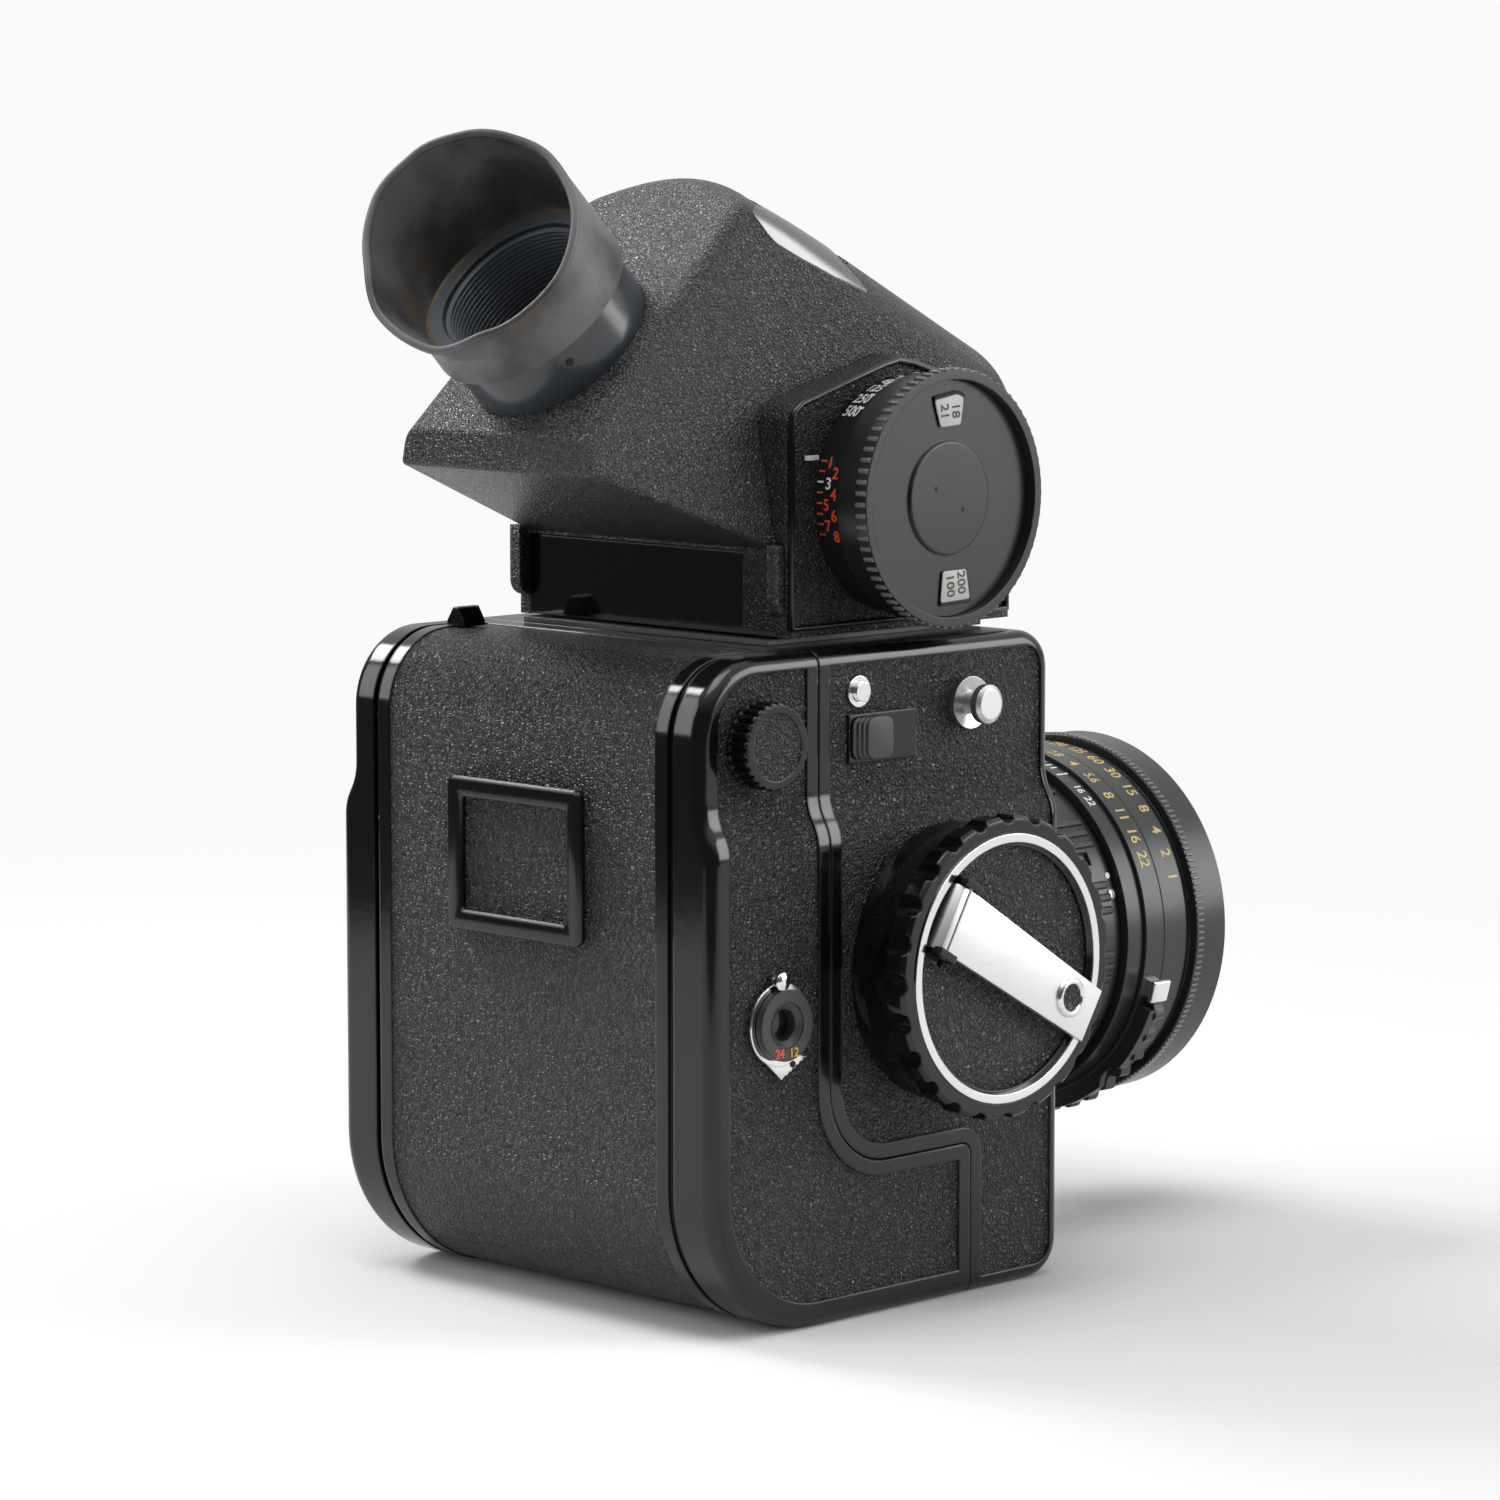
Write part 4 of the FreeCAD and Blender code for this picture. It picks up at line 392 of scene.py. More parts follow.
def roundEdges(piece, width, segments=3):
    bend = piece.modifiers.new("roundEdges", "BEVEL")
    bend.width = width * mm
    bend.segments = segments
    bend.limit_method = "ANGLE"
    bend.angle_limit = math.radians(38)
    applyAll(piece)


def cutOut(piece, cutter, operation="DIFFERENCE"):
    hole = piece.modifiers.new("hole", "BOOLEAN")
    hole.operation = operation
    hole.object = cutter
    applyAll(piece)
    bpy.data.objects.remove(cutter)


def joined(name, pieces):
    bpy.ops.object.select_all(action="DESELECT")
    for piece in pieces:
        piece.select_set(True)
    bpy.context.view_layer.objects.active = pieces[0]
    bpy.ops.object.join()
    pieces[0].name = name
    return pieces[0]


def turned(name, profile, steps=96):
    # A ring about Z through the given (radius, height) corners and back to the first, in millimetres.
    bpy.ops.object.select_all(action="DESELECT")
    radius, height = profile[0]
    bpy.ops.mesh.primitive_circle_add(vertices=steps, radius=radius * mm, location=(0, 0, height * mm))
    piece = bpy.context.object
    piece.name = name
    bpy.ops.object.transform_apply(location=True)
    bpy.ops.object.mode_set(mode="EDIT")
    for nextRadius, nextHeight in profile[1:] + profile[:1]:
        rise = (nextHeight - height) * mm
        grow = nextRadius / radius
        bpy.ops.mesh.extrude_region_move(TRANSFORM_OT_translate={"value": (0, 0, rise)})
        bpy.ops.transform.resize(value=(grow, grow, 1), center_override=(0, 0, nextHeight * mm))
        radius, height = nextRadius, nextHeight
    bpy.ops.mesh.select_all(action="SELECT")
    bpy.ops.mesh.remove_doubles(threshold=0.01 * mm)
    bpy.ops.mesh.normals_make_consistent(inside=False)
    bpy.ops.object.mode_set(mode="OBJECT")
    return piece


def plate(name, outline, low, high, corner=0.0, edge=0.0):
    # A flat piece with the given (x, y) corners, from one height to another, in millimetres.
    bpy.ops.object.select_all(action="DESELECT")
    bpy.ops.mesh.primitive_circle_add(vertices=len(outline), fill_type="NGON")
    piece = bpy.context.object
    piece.name = name
    for vert, (x, y) in zip(piece.data.vertices, outline):
        vert.co = (x * mm, y * mm, low * mm)
    bpy.ops.object.mode_set(mode="EDIT")
    bpy.ops.mesh.select_all(action="SELECT")
    if corner:
        bpy.ops.mesh.bevel(offset=corner * mm, segments=5, affect="VERTICES")
        bpy.ops.mesh.select_all(action="SELECT")
    bpy.ops.mesh.extrude_region_move(TRANSFORM_OT_translate={"value": (0, 0, (high - low) * mm)})
    bpy.ops.mesh.select_all(action="SELECT")
    bpy.ops.mesh.normals_make_consistent(inside=False)
    bpy.ops.object.mode_set(mode="OBJECT")
    if edge:
        roundEdges(piece, edge)
    return piece


def oblong(wide, tall, middle=(0, 0)):
    x, y = middle
    return [(x - wide / 2, y - tall / 2), (x + wide / 2, y - tall / 2),
            (x + wide / 2, y + tall / 2), (x - wide / 2, y + tall / 2)]


def aroundZ(piece, angles):
    # A copy of the piece at each angle in degrees, joined. The piece itself becomes the first one.
    twins = []
    for angle in angles:
        twin = piece.copy()
        twin.data = piece.data.copy()
        bpy.context.collection.objects.link(twin)
        twin.data.transform(Matrix.Rotation(math.radians(angle), 4, "Z"))
        twins.append(twin)
    name = piece.name
    bpy.data.objects.remove(piece)
    return joined(name, twins)


# How tall a digit is in the built-in typeface, for a text size of 1.
digitHeight = 0.69


def written(text, tall, squeeze=1.0, thick=0.03):
    # Digits as a thin mesh centred on the origin, tall millimetres high.
    bpy.ops.object.select_all(action="DESELECT")
    bpy.ops.object.text_add(location=(0, 0, 0))
    sign = bpy.context.object
    sign.data.body = text
    sign.data.size = tall / digitHeight * mm
    sign.data.extrude = thick * mm
    sign.data.offset = 0.05 * mm
    sign.data.resolution_u = 3
    sign.data.align_x = "CENTER"
    sign.data.align_y = "CENTER"
    bpy.ops.object.convert(target="MESH")
    sign = bpy.context.object
    sign.data.transform(Matrix.Diagonal((squeeze, 1, 1, 1)))
    return sign


def dash(long, wide, thick=0.03):
    return plate("dash", oblong(long, wide), -thick, thick)


def wrapped(piece, radius, start, height, along=False):
    # Lays a flat piece on a cylinder about Z: its x goes round it, or along it where along is true.
    for vert in piece.data.vertices:
        x, y, z = vert.co
        if along:
            x, y = -y, x
        angle = math.radians(start) + x / (radius * mm)
        out = radius * mm + z
        vert.co = (out * math.cos(angle), out * math.sin(angle), height * mm + y)
    return piece


def moved(piece, x, y, z=0.0, turn=0.0):
    piece.data.transform(Matrix.Translation((x * mm, y * mm, z * mm))
                         @ Matrix.Rotation(math.radians(turn), 4, "Z"))
    return piece


def outward(piece, angle, height):
    # Turns the piece's own Z outward from the Z axis, at an angle in degrees and a height in millimetres.
    piece.data.transform(Matrix.Rotation(math.radians(angle), 4, "Z")
                         @ Matrix.Translation((0, 0, height * mm))
                         @ Matrix.Rotation(math.radians(90), 4, "Y"))
    return piece


def settle(piece, at, way):
    # Points the piece's own Z along way with its Y as near upright as it goes, and puts its origin at at.
    along = Vector(way).normalized()
    upright = Vector((0, 0, 1))
    rise = (upright - along * along.dot(upright)).normalized()
    side = rise.cross(along)
    piece.matrix_world = Matrix.Translation(at) @ Matrix((side, rise, along)).transposed().to_4x4()
    onlyThis(piece)
    bpy.ops.object.transform_apply(location=True, rotation=True, scale=True)
    return piece


def dress(piece, body, slot, finish=None, sharp=35):
    piece.data.materials.clear()
    piece.data.materials.append(finish or finishes[slot])
    onlyThis(piece)
    bpy.ops.object.shade_smooth_by_angle(angle=math.radians(sharp))
    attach(piece, body)
    return piece


eyeSpot = Vector((0, 66.5, 168.93)) * mm
rearAtGround = Vector((0, 76.5, 0)) * mm
lensAxis = Vector((0, 76.5, 55)) * mm
dialSpot = Vector((0, 18, 142)) * mm

print("moulding the eyecup")
eyecup = {
    "sleeveFoot": 9.6,
    "sleeveTop": 15.2,
    "waist": 18.6,
    "flare": 1.3,
    "wall": 1.25,
    "mouthMiddle": 27.8,
    "sideLean": -0.357,
    "riseLean": 0.304,
    "boreAtFoot": 17.3,
    "sections": 12,
    # How far the mouth reaches from the axis, every 30 degrees from the camera's right.
    "mouthReach": [18.6, 18.9, 18.5, 17.7, 17.9, 18.9, 20.2, 20.4, 22.0, 21.8, 18.7, 18.2],
    "bead": 0.78,
}


def mouthReach(angle):
    spots = eyecup["mouthReach"]
    place = math.degrees(angle) % 360 / 30
    low = int(place)
    part = place - low
    ease = part * part * (3 - 2 * part)
    return spots[low % 12] * (1 - ease) + spots[(low + 1) % 12] * ease


def cupPoint(angle, part, inset=0.0):
    # A point of the cup's wall, from the sleeve's top at part 0 to the mouth at part 1.
    reach = mouthReach(angle)
    mouth = (eyecup["mouthMiddle"] + eyecup["sideLean"] * reach * math.cos(angle)
             + eyecup["riseLean"] * reach * math.sin(angle))
    radius = eyecup["waist"] + (reach - eyecup["waist"]) * part ** eyecup["flare"] - inset
    height = eyecup["sleeveTop"] + (mouth - eyecup["sleeveTop"]) * part
    return Vector((radius * math.cos(angle), radius * math.sin(angle), height)) * mm


waist = eyecup["waist"]
bore = waist - eyecup["wall"]
foot = eyecup["sleeveFoot"]
top = eyecup["sleeveTop"]
sections = eyecup["sections"]
cup = turned("eyecup", [(waist, foot), (waist + 0.1, foot + 0.4)]
             + [(waist, top + step) for step in range(sections + 1)]
             + [(bore, top + step) for step in range(sections, -1, -1)]
             + [(eyecup["boreAtFoot"], top - 0.1), (eyecup["boreAtFoot"], foot)], 120)
for vert in cup.data.vertices:
    part = (vert.co.z / mm - eyecup["sleeveTop"]) / sections
    if part >= 0:
        angle = math.atan2(vert.co.y, vert.co.x)
        inset = eyecup["waist"] - vert.co.xy.length / mm
        vert.co = cupPoint(angle, part, inset)
bpy.ops.object.select_all(action="DESELECT")
bpy.ops.mesh.primitive_circle_add(vertices=120)
bead = bpy.context.object
for vert in bead.data.vertices:
    vert.co = cupPoint(math.atan2(vert.co.y, vert.co.x), 1.0, eyecup["wall"] / 2)
bpy.ops.object.convert(target="CURVE")
bead.data.bevel_depth = eyecup["bead"] * mm
bead.data.bevel_resolution = 3
bpy.ops.object.convert(target="MESH")
cup = joined("eyecup", [cup, bpy.context.object])
cup = dress(settle(cup, eyeSpot, wayEye), "finder", "eyecup_rubber", sharp=60)
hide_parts("eyecup")

eyeThread = {
    "bore": 14.32,
    "crest": 13.55,
    "root": 14.22,
    "pitch": 0.86,
    "first": -0.4,
    "turns": 17,
    # Where each ridge's crest starts and ends and where its root lies, from the ridge's own start.
    "crestFrom": 0.3,
    "crestTo": 0.42,
    "rootAt": 0.8,
    "end": 0.82,
}
ridges = [(eyeThread["bore"], eyeThread["first"])]
for turn in range(eyeThread["turns"]):
    height = eyeThread["first"] + turn * eyeThread["pitch"]
    ridges += [(eyeThread["crest"], height + eyeThread["crestFrom"]),
               (eyeThread["crest"], height + eyeThread["crestTo"]),
               (eyeThread["root"], height + eyeThread["rootAt"])]
ridges.append((eyeThread["bore"], height + eyeThread["end"]))
thread = turned("eyepieceRidges", ridges)
# The ridges' lighter finish is partly a painted glint.
dress(settle(thread, eyeSpot, wayEye), "finder", "satin_black", finishes["faceWearAndSheen"], sharp=20)
eyepiece = {
    "face": [(14.4, 15.0), (17.2, 15.0), (17.2, 15.12), (14.5, 15.12)],
    "dirt": [(16.85, 15.1), (17.5, 15.1), (17.5, 15.7), (17.15, 15.3)],
    "screw": [(0.01, 17.1), (0.75, 17.1), (0.75, 17.27), (0.65, 17.3), (0.01, 17.3)],
    "screwAngle": -33,
    "screwHeight": 6.2,
}
# The face ring is painted light: it is coloured lighter than the shade in the tube's end would show.
face = turned("eyepieceFace", eyepiece["face"])
dress(settle(face, eyeSpot, wayEye), "finder", "satin_black", finishes["faceWearAndSheen"])
dirt = turned("eyepieceDirt", eyepiece["dirt"])
dress(settle(dirt, eyeSpot, wayEye), "finder", "eyecup_rubber", inks["dirt"])
# The set screw is drawn as a flat dark disc: painted shade standing in for the screw's hole.
setScrewShade = turned("eyepieceScrew", eyepiece["screw"], 20)
setScrewShade = outward(setScrewShade, eyepiece["screwAngle"], eyepiece["screwHeight"])
dress(settle(setScrewShade, eyeSpot, wayEye), "finder", "inner_black")

print("bending the crank lever")
crankLever = {
    "outline": [(46.6, 76.1), (40.6, 65.7), (75.7, 46.0), (81.0, 54.4)],
    "low": 62.65,
    "high": 63.85,
    "along": (-0.858, 0.513),
    "flange": [(1.3, -0.35), (0.75, -1.0), (0.2, -1.3)],
    "round": 0.42,
    "rivet": (72.56, 54.25),
    "ring": [(2.15, 63.8), (3.6, 63.8), (3.5, 64.25), (3.2, 64.5), (2.9, 64.56), (2.55, 64.5), (2.3, 64.2)],
    "core": [(0.01, 62.8), (2.4, 62.8), (2.4, 64.22), (2.1, 64.28), (0.01, 64.3)],
}
lever = plate("crankLever", crankLever["outline"], crankLever["low"], crankLever["high"])
away = Vector((crankLever["along"][0], crankLever["along"][1], 0))
end = max(lever.data.polygons, key=lambda face: face.normal.dot(away))
for face in lever.data.polygons:
    face.select = face.index == end.index
for edge in lever.data.edges:
    edge.select = edge.key in end.edge_keys
for vert in lever.data.vertices:
    vert.select = vert.index in end.vertices
bpy.ops.object.mode_set(mode="EDIT")
for reach, fall in crankLever["flange"]:
    step = (away.x * reach * mm, away.y * reach * mm, fall * mm)
    bpy.ops.mesh.extrude_region_move(TRANSFORM_OT_translate={"value": step})
bpy.ops.mesh.select_all(action="SELECT")
bpy.ops.mesh.normals_make_consistent(inside=False)
bpy.ops.object.mode_set(mode="OBJECT")
roundEdges(lever, crankLever["round"], 4)
dress(settle(lever, rearAtGround, wayRight), "crank", "crank_silver")
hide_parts("crank_lever")
rivetRing = moved(turned("rivetRing", crankLever["ring"], 48), *crankLever["rivet"])
dress(settle(rivetRing, rearAtGround, wayRight), "grip", "chrome")
rivetCore = moved(turned("rivetCore", crankLever["core"], 40), *crankLever["rivet"])
dress(settle(rivetCore, rearAtGround, wayRight), "grip", "chrome", finishes["body_leather"])
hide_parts("crank_grip")

print("cutting the selector")
selector = {
    "middle": (16.0, 54.4),
    "low": 47.56,
    "high": 48.3,
    "washer": [(4.66, 47.56), (7.2, 47.56), (7.3, 48.15), (7.15, 48.3), (4.66, 48.3)],
    "tongueLeft": [(-5.9, -4.2), (0.2, -9.7)],
    "tongueRight": [(6.4, -5.2), (5.9, -4.0), (3, -5.6), (-3, -5.6)],
    "teeth": 6,
    # The first notch's two corners, and how far each further notch lies from the one before.
    "notch": [(1.0, -9.0), (1.7, -8.95)],
    "notchStep": (0.9, 0.52),
    "neck": [(-1.3, 6.4), (0.9, 6.4), (0.5, 8.2), (-2.0, 8.2)],
    "pin": [(0.01, 47.6), (1.15, 47.6), (1.15, 48.9), (1.6, 49.1), (1.65, 49.6), (1.3, 49.85), (0.01, 49.9)],
    "pinPlace": (-0.75, 7.6),
    "screw": [(0.01, 48.2), (0.62, 48.2), (0.6, 48.42), (0.01, 48.44)],
    "screwPlace": (18.84, 47.2),
}
washer = turned("formatSelector", selector["washer"], 72)
acrossStep, upStep = selector["notchStep"]
teeth = [(x + step * acrossStep, y + step * upStep)
         for step in range(selector["teeth"]) for x, y in selector["notch"]]
tongue = plate("tongue", selector["tongueLeft"] + teeth + selector["tongueRight"],
               selector["low"] + 0.05, selector["high"] - 0.02, edge=0.12)
pin = moved(turned("pin", selector["pin"], 32), *selector["pinPlace"])
neck = plate("neck", selector["neck"], selector["low"] + 0.05, selector["high"] - 0.05)
screw = moved(turned("screw", selector["screw"], 20), *selector["screwPlace"])
metal = moved(joined("formatSelector", [washer, tongue, pin, neck]), *selector["middle"])
metal = dress(settle(metal, rearAtGround, wayRight), "selector", "chrome")
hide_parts("format_selector")
dress(settle(screw, rearAtGround, wayRight), "selector", "chrome", finishes["inner_black"])

counter = {
    "funnel": [(3.98, 47.1), (3.98, 49.65), (2.75, 48.9), (2.6, 47.1)],
    "countTall": 1.55,
    "countOut": 49.83,
    "counts": [
        ("countRed", "24", (14.15, 49.65), "redInk"),
        ("countYellow", "12", (17.6, 49.55), "yellowInk"),
    ],
}
funnel = moved(turned("counterFunnel", counter["funnel"], 48), *selector["middle"])
dress(settle(funnel, rearAtGround, wayRight), "film_insert", "counter_print")
for name, text, place, colour in counter["counts"]:
    count = moved(written(text, counter["countTall"]), *place, counter["countOut"])
    count.name = name
    dress(settle(count, rearAtGround, wayRight), "film_insert", "counter_print", inks[colour])

print("framing the memo holder")
memo = {
    "middle": (0.0, 79.6),
    "wide": 34.2,
    "tall": 27.3,
    "corner": 1.7,
    "border": 3.7,
    "foot": 0.1,
    "top": 1.6,
    "round": 0.55,
    "cardCorner": 0.7,
}
holder = plate("memoHolder", oblong(memo["wide"], memo["tall"], memo["middle"]), memo["foot"], memo["top"],
               corner=memo["corner"])
card = oblong(memo["wide"] - 2 * memo["border"], memo["tall"] - 2 * memo["border"], memo["middle"])
cutOut(holder, plate("opening", card, -1.0, 3.0, corner=memo["cardCorner"]))
roundEdges(holder, memo["round"], 4)
dress(settle(holder, rearAtGround, (0, 1, 0)), "film_back", "body_enamel")
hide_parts("memo_frame")

print("laying the name plate")
namePlate = {
    # One half of its outline, as out from the middle and behind the ground point, clockwise from the rear.
    "half": [(7, 31.0), (13, 32.2), (17.6, 35.0), (20.5, 39.6), (21.6, 37.5), (22.3, 35.7), (23.5, 30.8),
             (25.0, 24.1), (26.2, 16.5), (23.4, 19.9), (15, 22.7)],
    "corner": 0.6,
    "thick": 0.8,
    "proud": 0.14,
    # Heights below and above the roof there, between which the outline is cut.
    "below": 168,
    "above": 205,
}
bpy.ops.object.select_all(action="DESELECT")
skins = []
for node in ("finder_housing", "name_plate"):
    skin = nodes[node].copy()
    skin.data = nodes[node].data.copy()
    bpy.context.collection.objects.link(skin)
    skins.append(skin)
roof = joined("roofSkin", skins)
bpy.ops.object.mode_set(mode="EDIT")
bpy.ops.mesh.select_all(action="SELECT")
bpy.ops.mesh.convex_hull()
bpy.ops.object.mode_set(mode="OBJECT")
under = roof.copy()
under.data = roof.data.copy()
bpy.context.collection.objects.link(under)
under.data.transform(Matrix.Translation((0, 0, -namePlate["thick"] * mm)))
outline = namePlate["half"] + [(-x, y) for x, y in reversed(namePlate["half"])]
cover = plate("namePlate", outline, namePlate["below"], namePlate["above"], corner=namePlate["corner"])
cutOut(cover, roof, "INTERSECT")
cutOut(cover, under)
lift = cover.modifiers.new("proud", "DISPLACE")
lift.strength = namePlate["proud"] * mm
lift.mid_level = 0
applyAll(cover)
dress(cover, "finder", "name_enamel", finishes["brightPlate"])
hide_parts("name_plate")

print("running the meter's moulding")
moulding = {
    "outline": [(31.6, 120.1), (31.6, 155.6), (32.4, 157.6), (34.2, 158.9), (54.6, 164.9), (58.3, 165.6),
                (62.0, 165.0), (78.8, 160.0), (83.0, 157.6), (85.6, 154.4), (86.6, 150.6), (86.6, 120.1)],
    "out": 35.25,
    "round": 0.62,
}
bpy.ops.object.select_all(action="DESELECT")
bpy.ops.mesh.primitive_circle_add(vertices=len(moulding["outline"]))
bead = bpy.context.object
for vert, (behind, height) in zip(bead.data.vertices, moulding["outline"]):
    vert.co = Vector((behind, height, moulding["out"])) * mm
bpy.ops.object.convert(target="CURVE")
bead.data.bevel_depth = moulding["round"] * mm
bead.data.bevel_resolution = 4
bpy.ops.object.convert(target="MESH")
bead = bpy.context.object
bead.name = "meterMoulding"
dress(settle(bead, rearAtGround, wayRight), "finder", "finder_enamel", finishes["body_enamel"], sharp=60)

print("marking the meter dial")
dial = {
    "scaleRadius": 20.62,
    "figures": [("500", 132.3), ("250", 122.9), ("125", 112.8), ("60", 102.4), ("30", 92.0), ("15", 81.6),
                ("8", 71.2), ("4", 60.8), ("2", 50.4), ("1", 40.0)],
    "figureTall": 2.5,
    # How narrow the figures are, those of three digits and the shorter ones.
    "narrow": (0.64, 0.75),
    "figureStart": 37.15,
    "bandRadius": 21.62,
    "dash": (1.0, 0.45),
    "dashStart": 40.15,
    # Eight numbered ticks. The one at whiteMark is white, and every second number stands further out.
    "tickCount": 8,
    "firstTick": 160.4,
    "tickStep": 5.15,
    "tick": (1.4, 0.35),
    "tickStart": 35.9,
    "whiteMark": 2,
    "markTall": 2.0,
    "markLead": 1.03,
    "markStart": 37.5,
    "whiteStart": 37.8,
    "markShift": 1.7,
    "tooth": [(22.1, -0.55), (22.75, -0.3), (22.75, 0.3), (22.1, 0.55)],
    "toothPlace": (46.3, 48.55),
    "toothCount": 72,
    "pointer": oblong(3.4, 0.85, (-21.85, 7.5)),
    "pointerPlace": (35.1, 35.42),
}


def onScale(piece, angle, height):
    return wrapped(piece, dial["scaleRadius"], angle, height, along=True)


figures = []
for text, angle in dial["figures"]:
    sign = written(text, dial["figureTall"], dial["narrow"][len(text) < 3])
    figures.append(onScale(sign, angle, dial["figureStart"]))
    figures.append(wrapped(dash(*dial["dash"]), dial["bandRadius"], angle, dial["dashStart"], along=True))
marks = []
for step in range(dial["tickCount"]):
    white = step == dial["whiteMark"]
    angle = dial["firstTick"] + step * dial["tickStep"]
    height = dial["whiteStart"] if white else dial["markStart"] + dial["markShift"] * (step % 2)
    tick = onScale(dash(*dial["tick"]), angle, dial["tickStart"])
    sign = onScale(written(str(step + 1), dial["markTall"]), angle + dial["markLead"], height)
    (figures if white else marks).extend([tick, sign])
dress(settle(joined("dialFigures", figures), dialSpot, wayRight), "meter", "dial_print", inks["whiteInk"])
dress(settle(joined("dialMarks", marks), dialSpot, wayRight), "meter", "dial_print", inks["redInk"])
pointer = plate("indexBar", dial["pointer"], *dial["pointerPlace"], edge=0.1)
dress(settle(pointer, dialSpot, wayRight), "finder", "finder_enamel", inks["whiteInk"])
tooth = plate("dialTeeth", dial["tooth"], *dial["toothPlace"], edge=0.15)
teeth = aroundZ(tooth, [step * 360 / dial["toothCount"] for step in range(dial["toothCount"])])
dress(settle(teeth, dialSpot, wayRight), "meter", "dial_print", finishes["teethWearAndGlint"])

print("covering the dial's face")
dialFace = {
    "under": 47.3,
    "pane": 47.46,
    "shade": 47.42,
    "corner": 0.5,
    "figureTall": 1.9,
    "figureOut": 47.48,
    "figureTurn": -86,
    "windows": [
        ("upper", [(-3.9, 17.2), (1.9, 18.1), (3.6, 17.4), (2.8, 12.7), (-2.3, 12.4)],
         [("21", -1.4, 15.1), ("18", 1.4, 15.2)]),
        ("lower", [(-1.6, -12.7), (4.3, -12.6), (5.3, -17.9), (-2.2, -18.2)],
         [("100", 0.2, -15.3), ("200", 3.0, -14.9)]),
    ],
    "cap": [(0.01, 47.3), (9.9, 47.3), (9.9, 47.46), (9.75, 47.52), (9.5, 47.525), (0.01, 47.525)],
    "pinHole": [(0.01, 47.3), (0.42, 47.3), (0.42, 47.55), (0.01, 47.56)],
    "pinPlaces": [(-3.5, 1.75), (3.3, -2.1)],
}


def onFace(piece, finish=None):
    return dress(settle(piece, dialSpot, wayRight), "calculator", "dial_face_print", finish)


for place, outline, numbers in dialFace["windows"]:
    under, corner = dialFace["under"], dialFace["corner"]
    pane = plate(place + "Window", outline, under, dialFace["pane"], corner=corner, edge=0.06)
    onFace(pane, finishes["paleCard"])
    # The shade is a little larger than the pane, so it shows as a dark rim round it.
    rim = [(x * 1.06 + 0.1, y * 1.035) for x, y in outline]
    shade = plate(place + "WindowShade", rim, under, dialFace["shade"], corner=corner)
    onFace(shade, finishes["inner_black"])
    signs = [moved(written(text, dialFace["figureTall"]), x, y, dialFace["figureOut"], dialFace["figureTurn"])
             for text, x, y in numbers]
    onFace(joined(place + "Figures", signs), inks["greyInk"])
onFace(turned("dialCap", dialFace["cap"], 72))
# The pin holes are small dark discs on the cap: painted shade standing in for the holes.
pinHoleShades = [moved(turned("pinHole", dialFace["pinHole"], 20), *spot) for spot in dialFace["pinPlaces"]]
onFace(joined("pinHoleShades", pinHoleShades), finishes["inner_black"])

print("stepping the slider")
slider = {
    "layers": 4,
    "low": 44.75,
    "rise": 0.4,
    "rear": 36.9,
    "step": 0.8,
    "front": 45.7,
    "middleHeight": 101.3,
    "tall": 7.4,
    "corner": 1.7,
}
layers = []
for step in range(slider["layers"]):
    rear = slider["rear"] + step * slider["step"]
    low = slider["low"] + step * slider["rise"]
    middle = ((slider["front"] + rear) / 2, slider["middleHeight"])
    layers.append(plate("layer", oblong(slider["front"] - rear, slider["tall"], middle),
                        low, low + slider["rise"] + 0.01, corner=slider["corner"], edge=0.1))
block = settle(joined("exposureSlider", layers), rearAtGround, wayRight)
dress(block, "exposure_slider", "body_enamel", finishes["satin_black"])
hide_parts("multi_exposure_slider")

print("engraving the lens")
lensMarks = {
    "tall": 2.45,
    "ringRadius": 33.52,
    # Each ring's body, how far forward its figures stand, and the figures with their angles.
    "speedFigures": ("speed", 137.3, [
        ("500", 86.5), ("250", 94.8), ("125", 103.1), ("60", 111.4), ("30", 119.7),
        ("15", 128.4), ("8", 136.7), ("4", 145.0), ("2", 153.2), ("1", 161.2)]),
    "stopFigures": ("aperture", 130.7, [
        ("2.8", 103.6), ("4", 112.0), ("5.6", 120.8), ("8", 129.6),
        ("11", 137.6), ("16", 145.8), ("22", 154.2)]),
    # How narrow the figures are, those of three characters and the shorter ones.
    "narrow": (0.68, 0.95),
    "depthTall": 1.7,
    "depthPlace": 125.8,
    "depths": [("22", 99), ("16", 105), ("11", 110), ("16", 124), ("22", 130)],
    "barrelRadius": 32.82,
    "index": (0.4, 3.0),
    "indexAngle": 115.5,
}


def onLens(piece, body, slot, finish=None):
    return dress(settle(piece, lensAxis, wayLens), body, slot, finish)


for name in ("speedFigures", "stopFigures"):
    body, place, scale = lensMarks[name]
    signs = []
    for text, angle in scale:
        sign = written(text, lensMarks["tall"], lensMarks["narrow"][len(text) < 3])
        signs.append(wrapped(sign, lensMarks["ringRadius"], angle, place))
    onLens(joined(name, signs), body, "ring_print", inks["goldInk"])
barrel, place = lensMarks["barrelRadius"], lensMarks["depthPlace"]
signs = [wrapped(written(text, lensMarks["depthTall"]), barrel, angle, place)
         for text, angle in lensMarks["depths"]]
signs.append(wrapped(dash(*lensMarks["index"]), barrel, lensMarks["indexAngle"], place))
onLens(joined("depthFigures", signs), "lens_front", "lens_black", inks["whiteInk"])

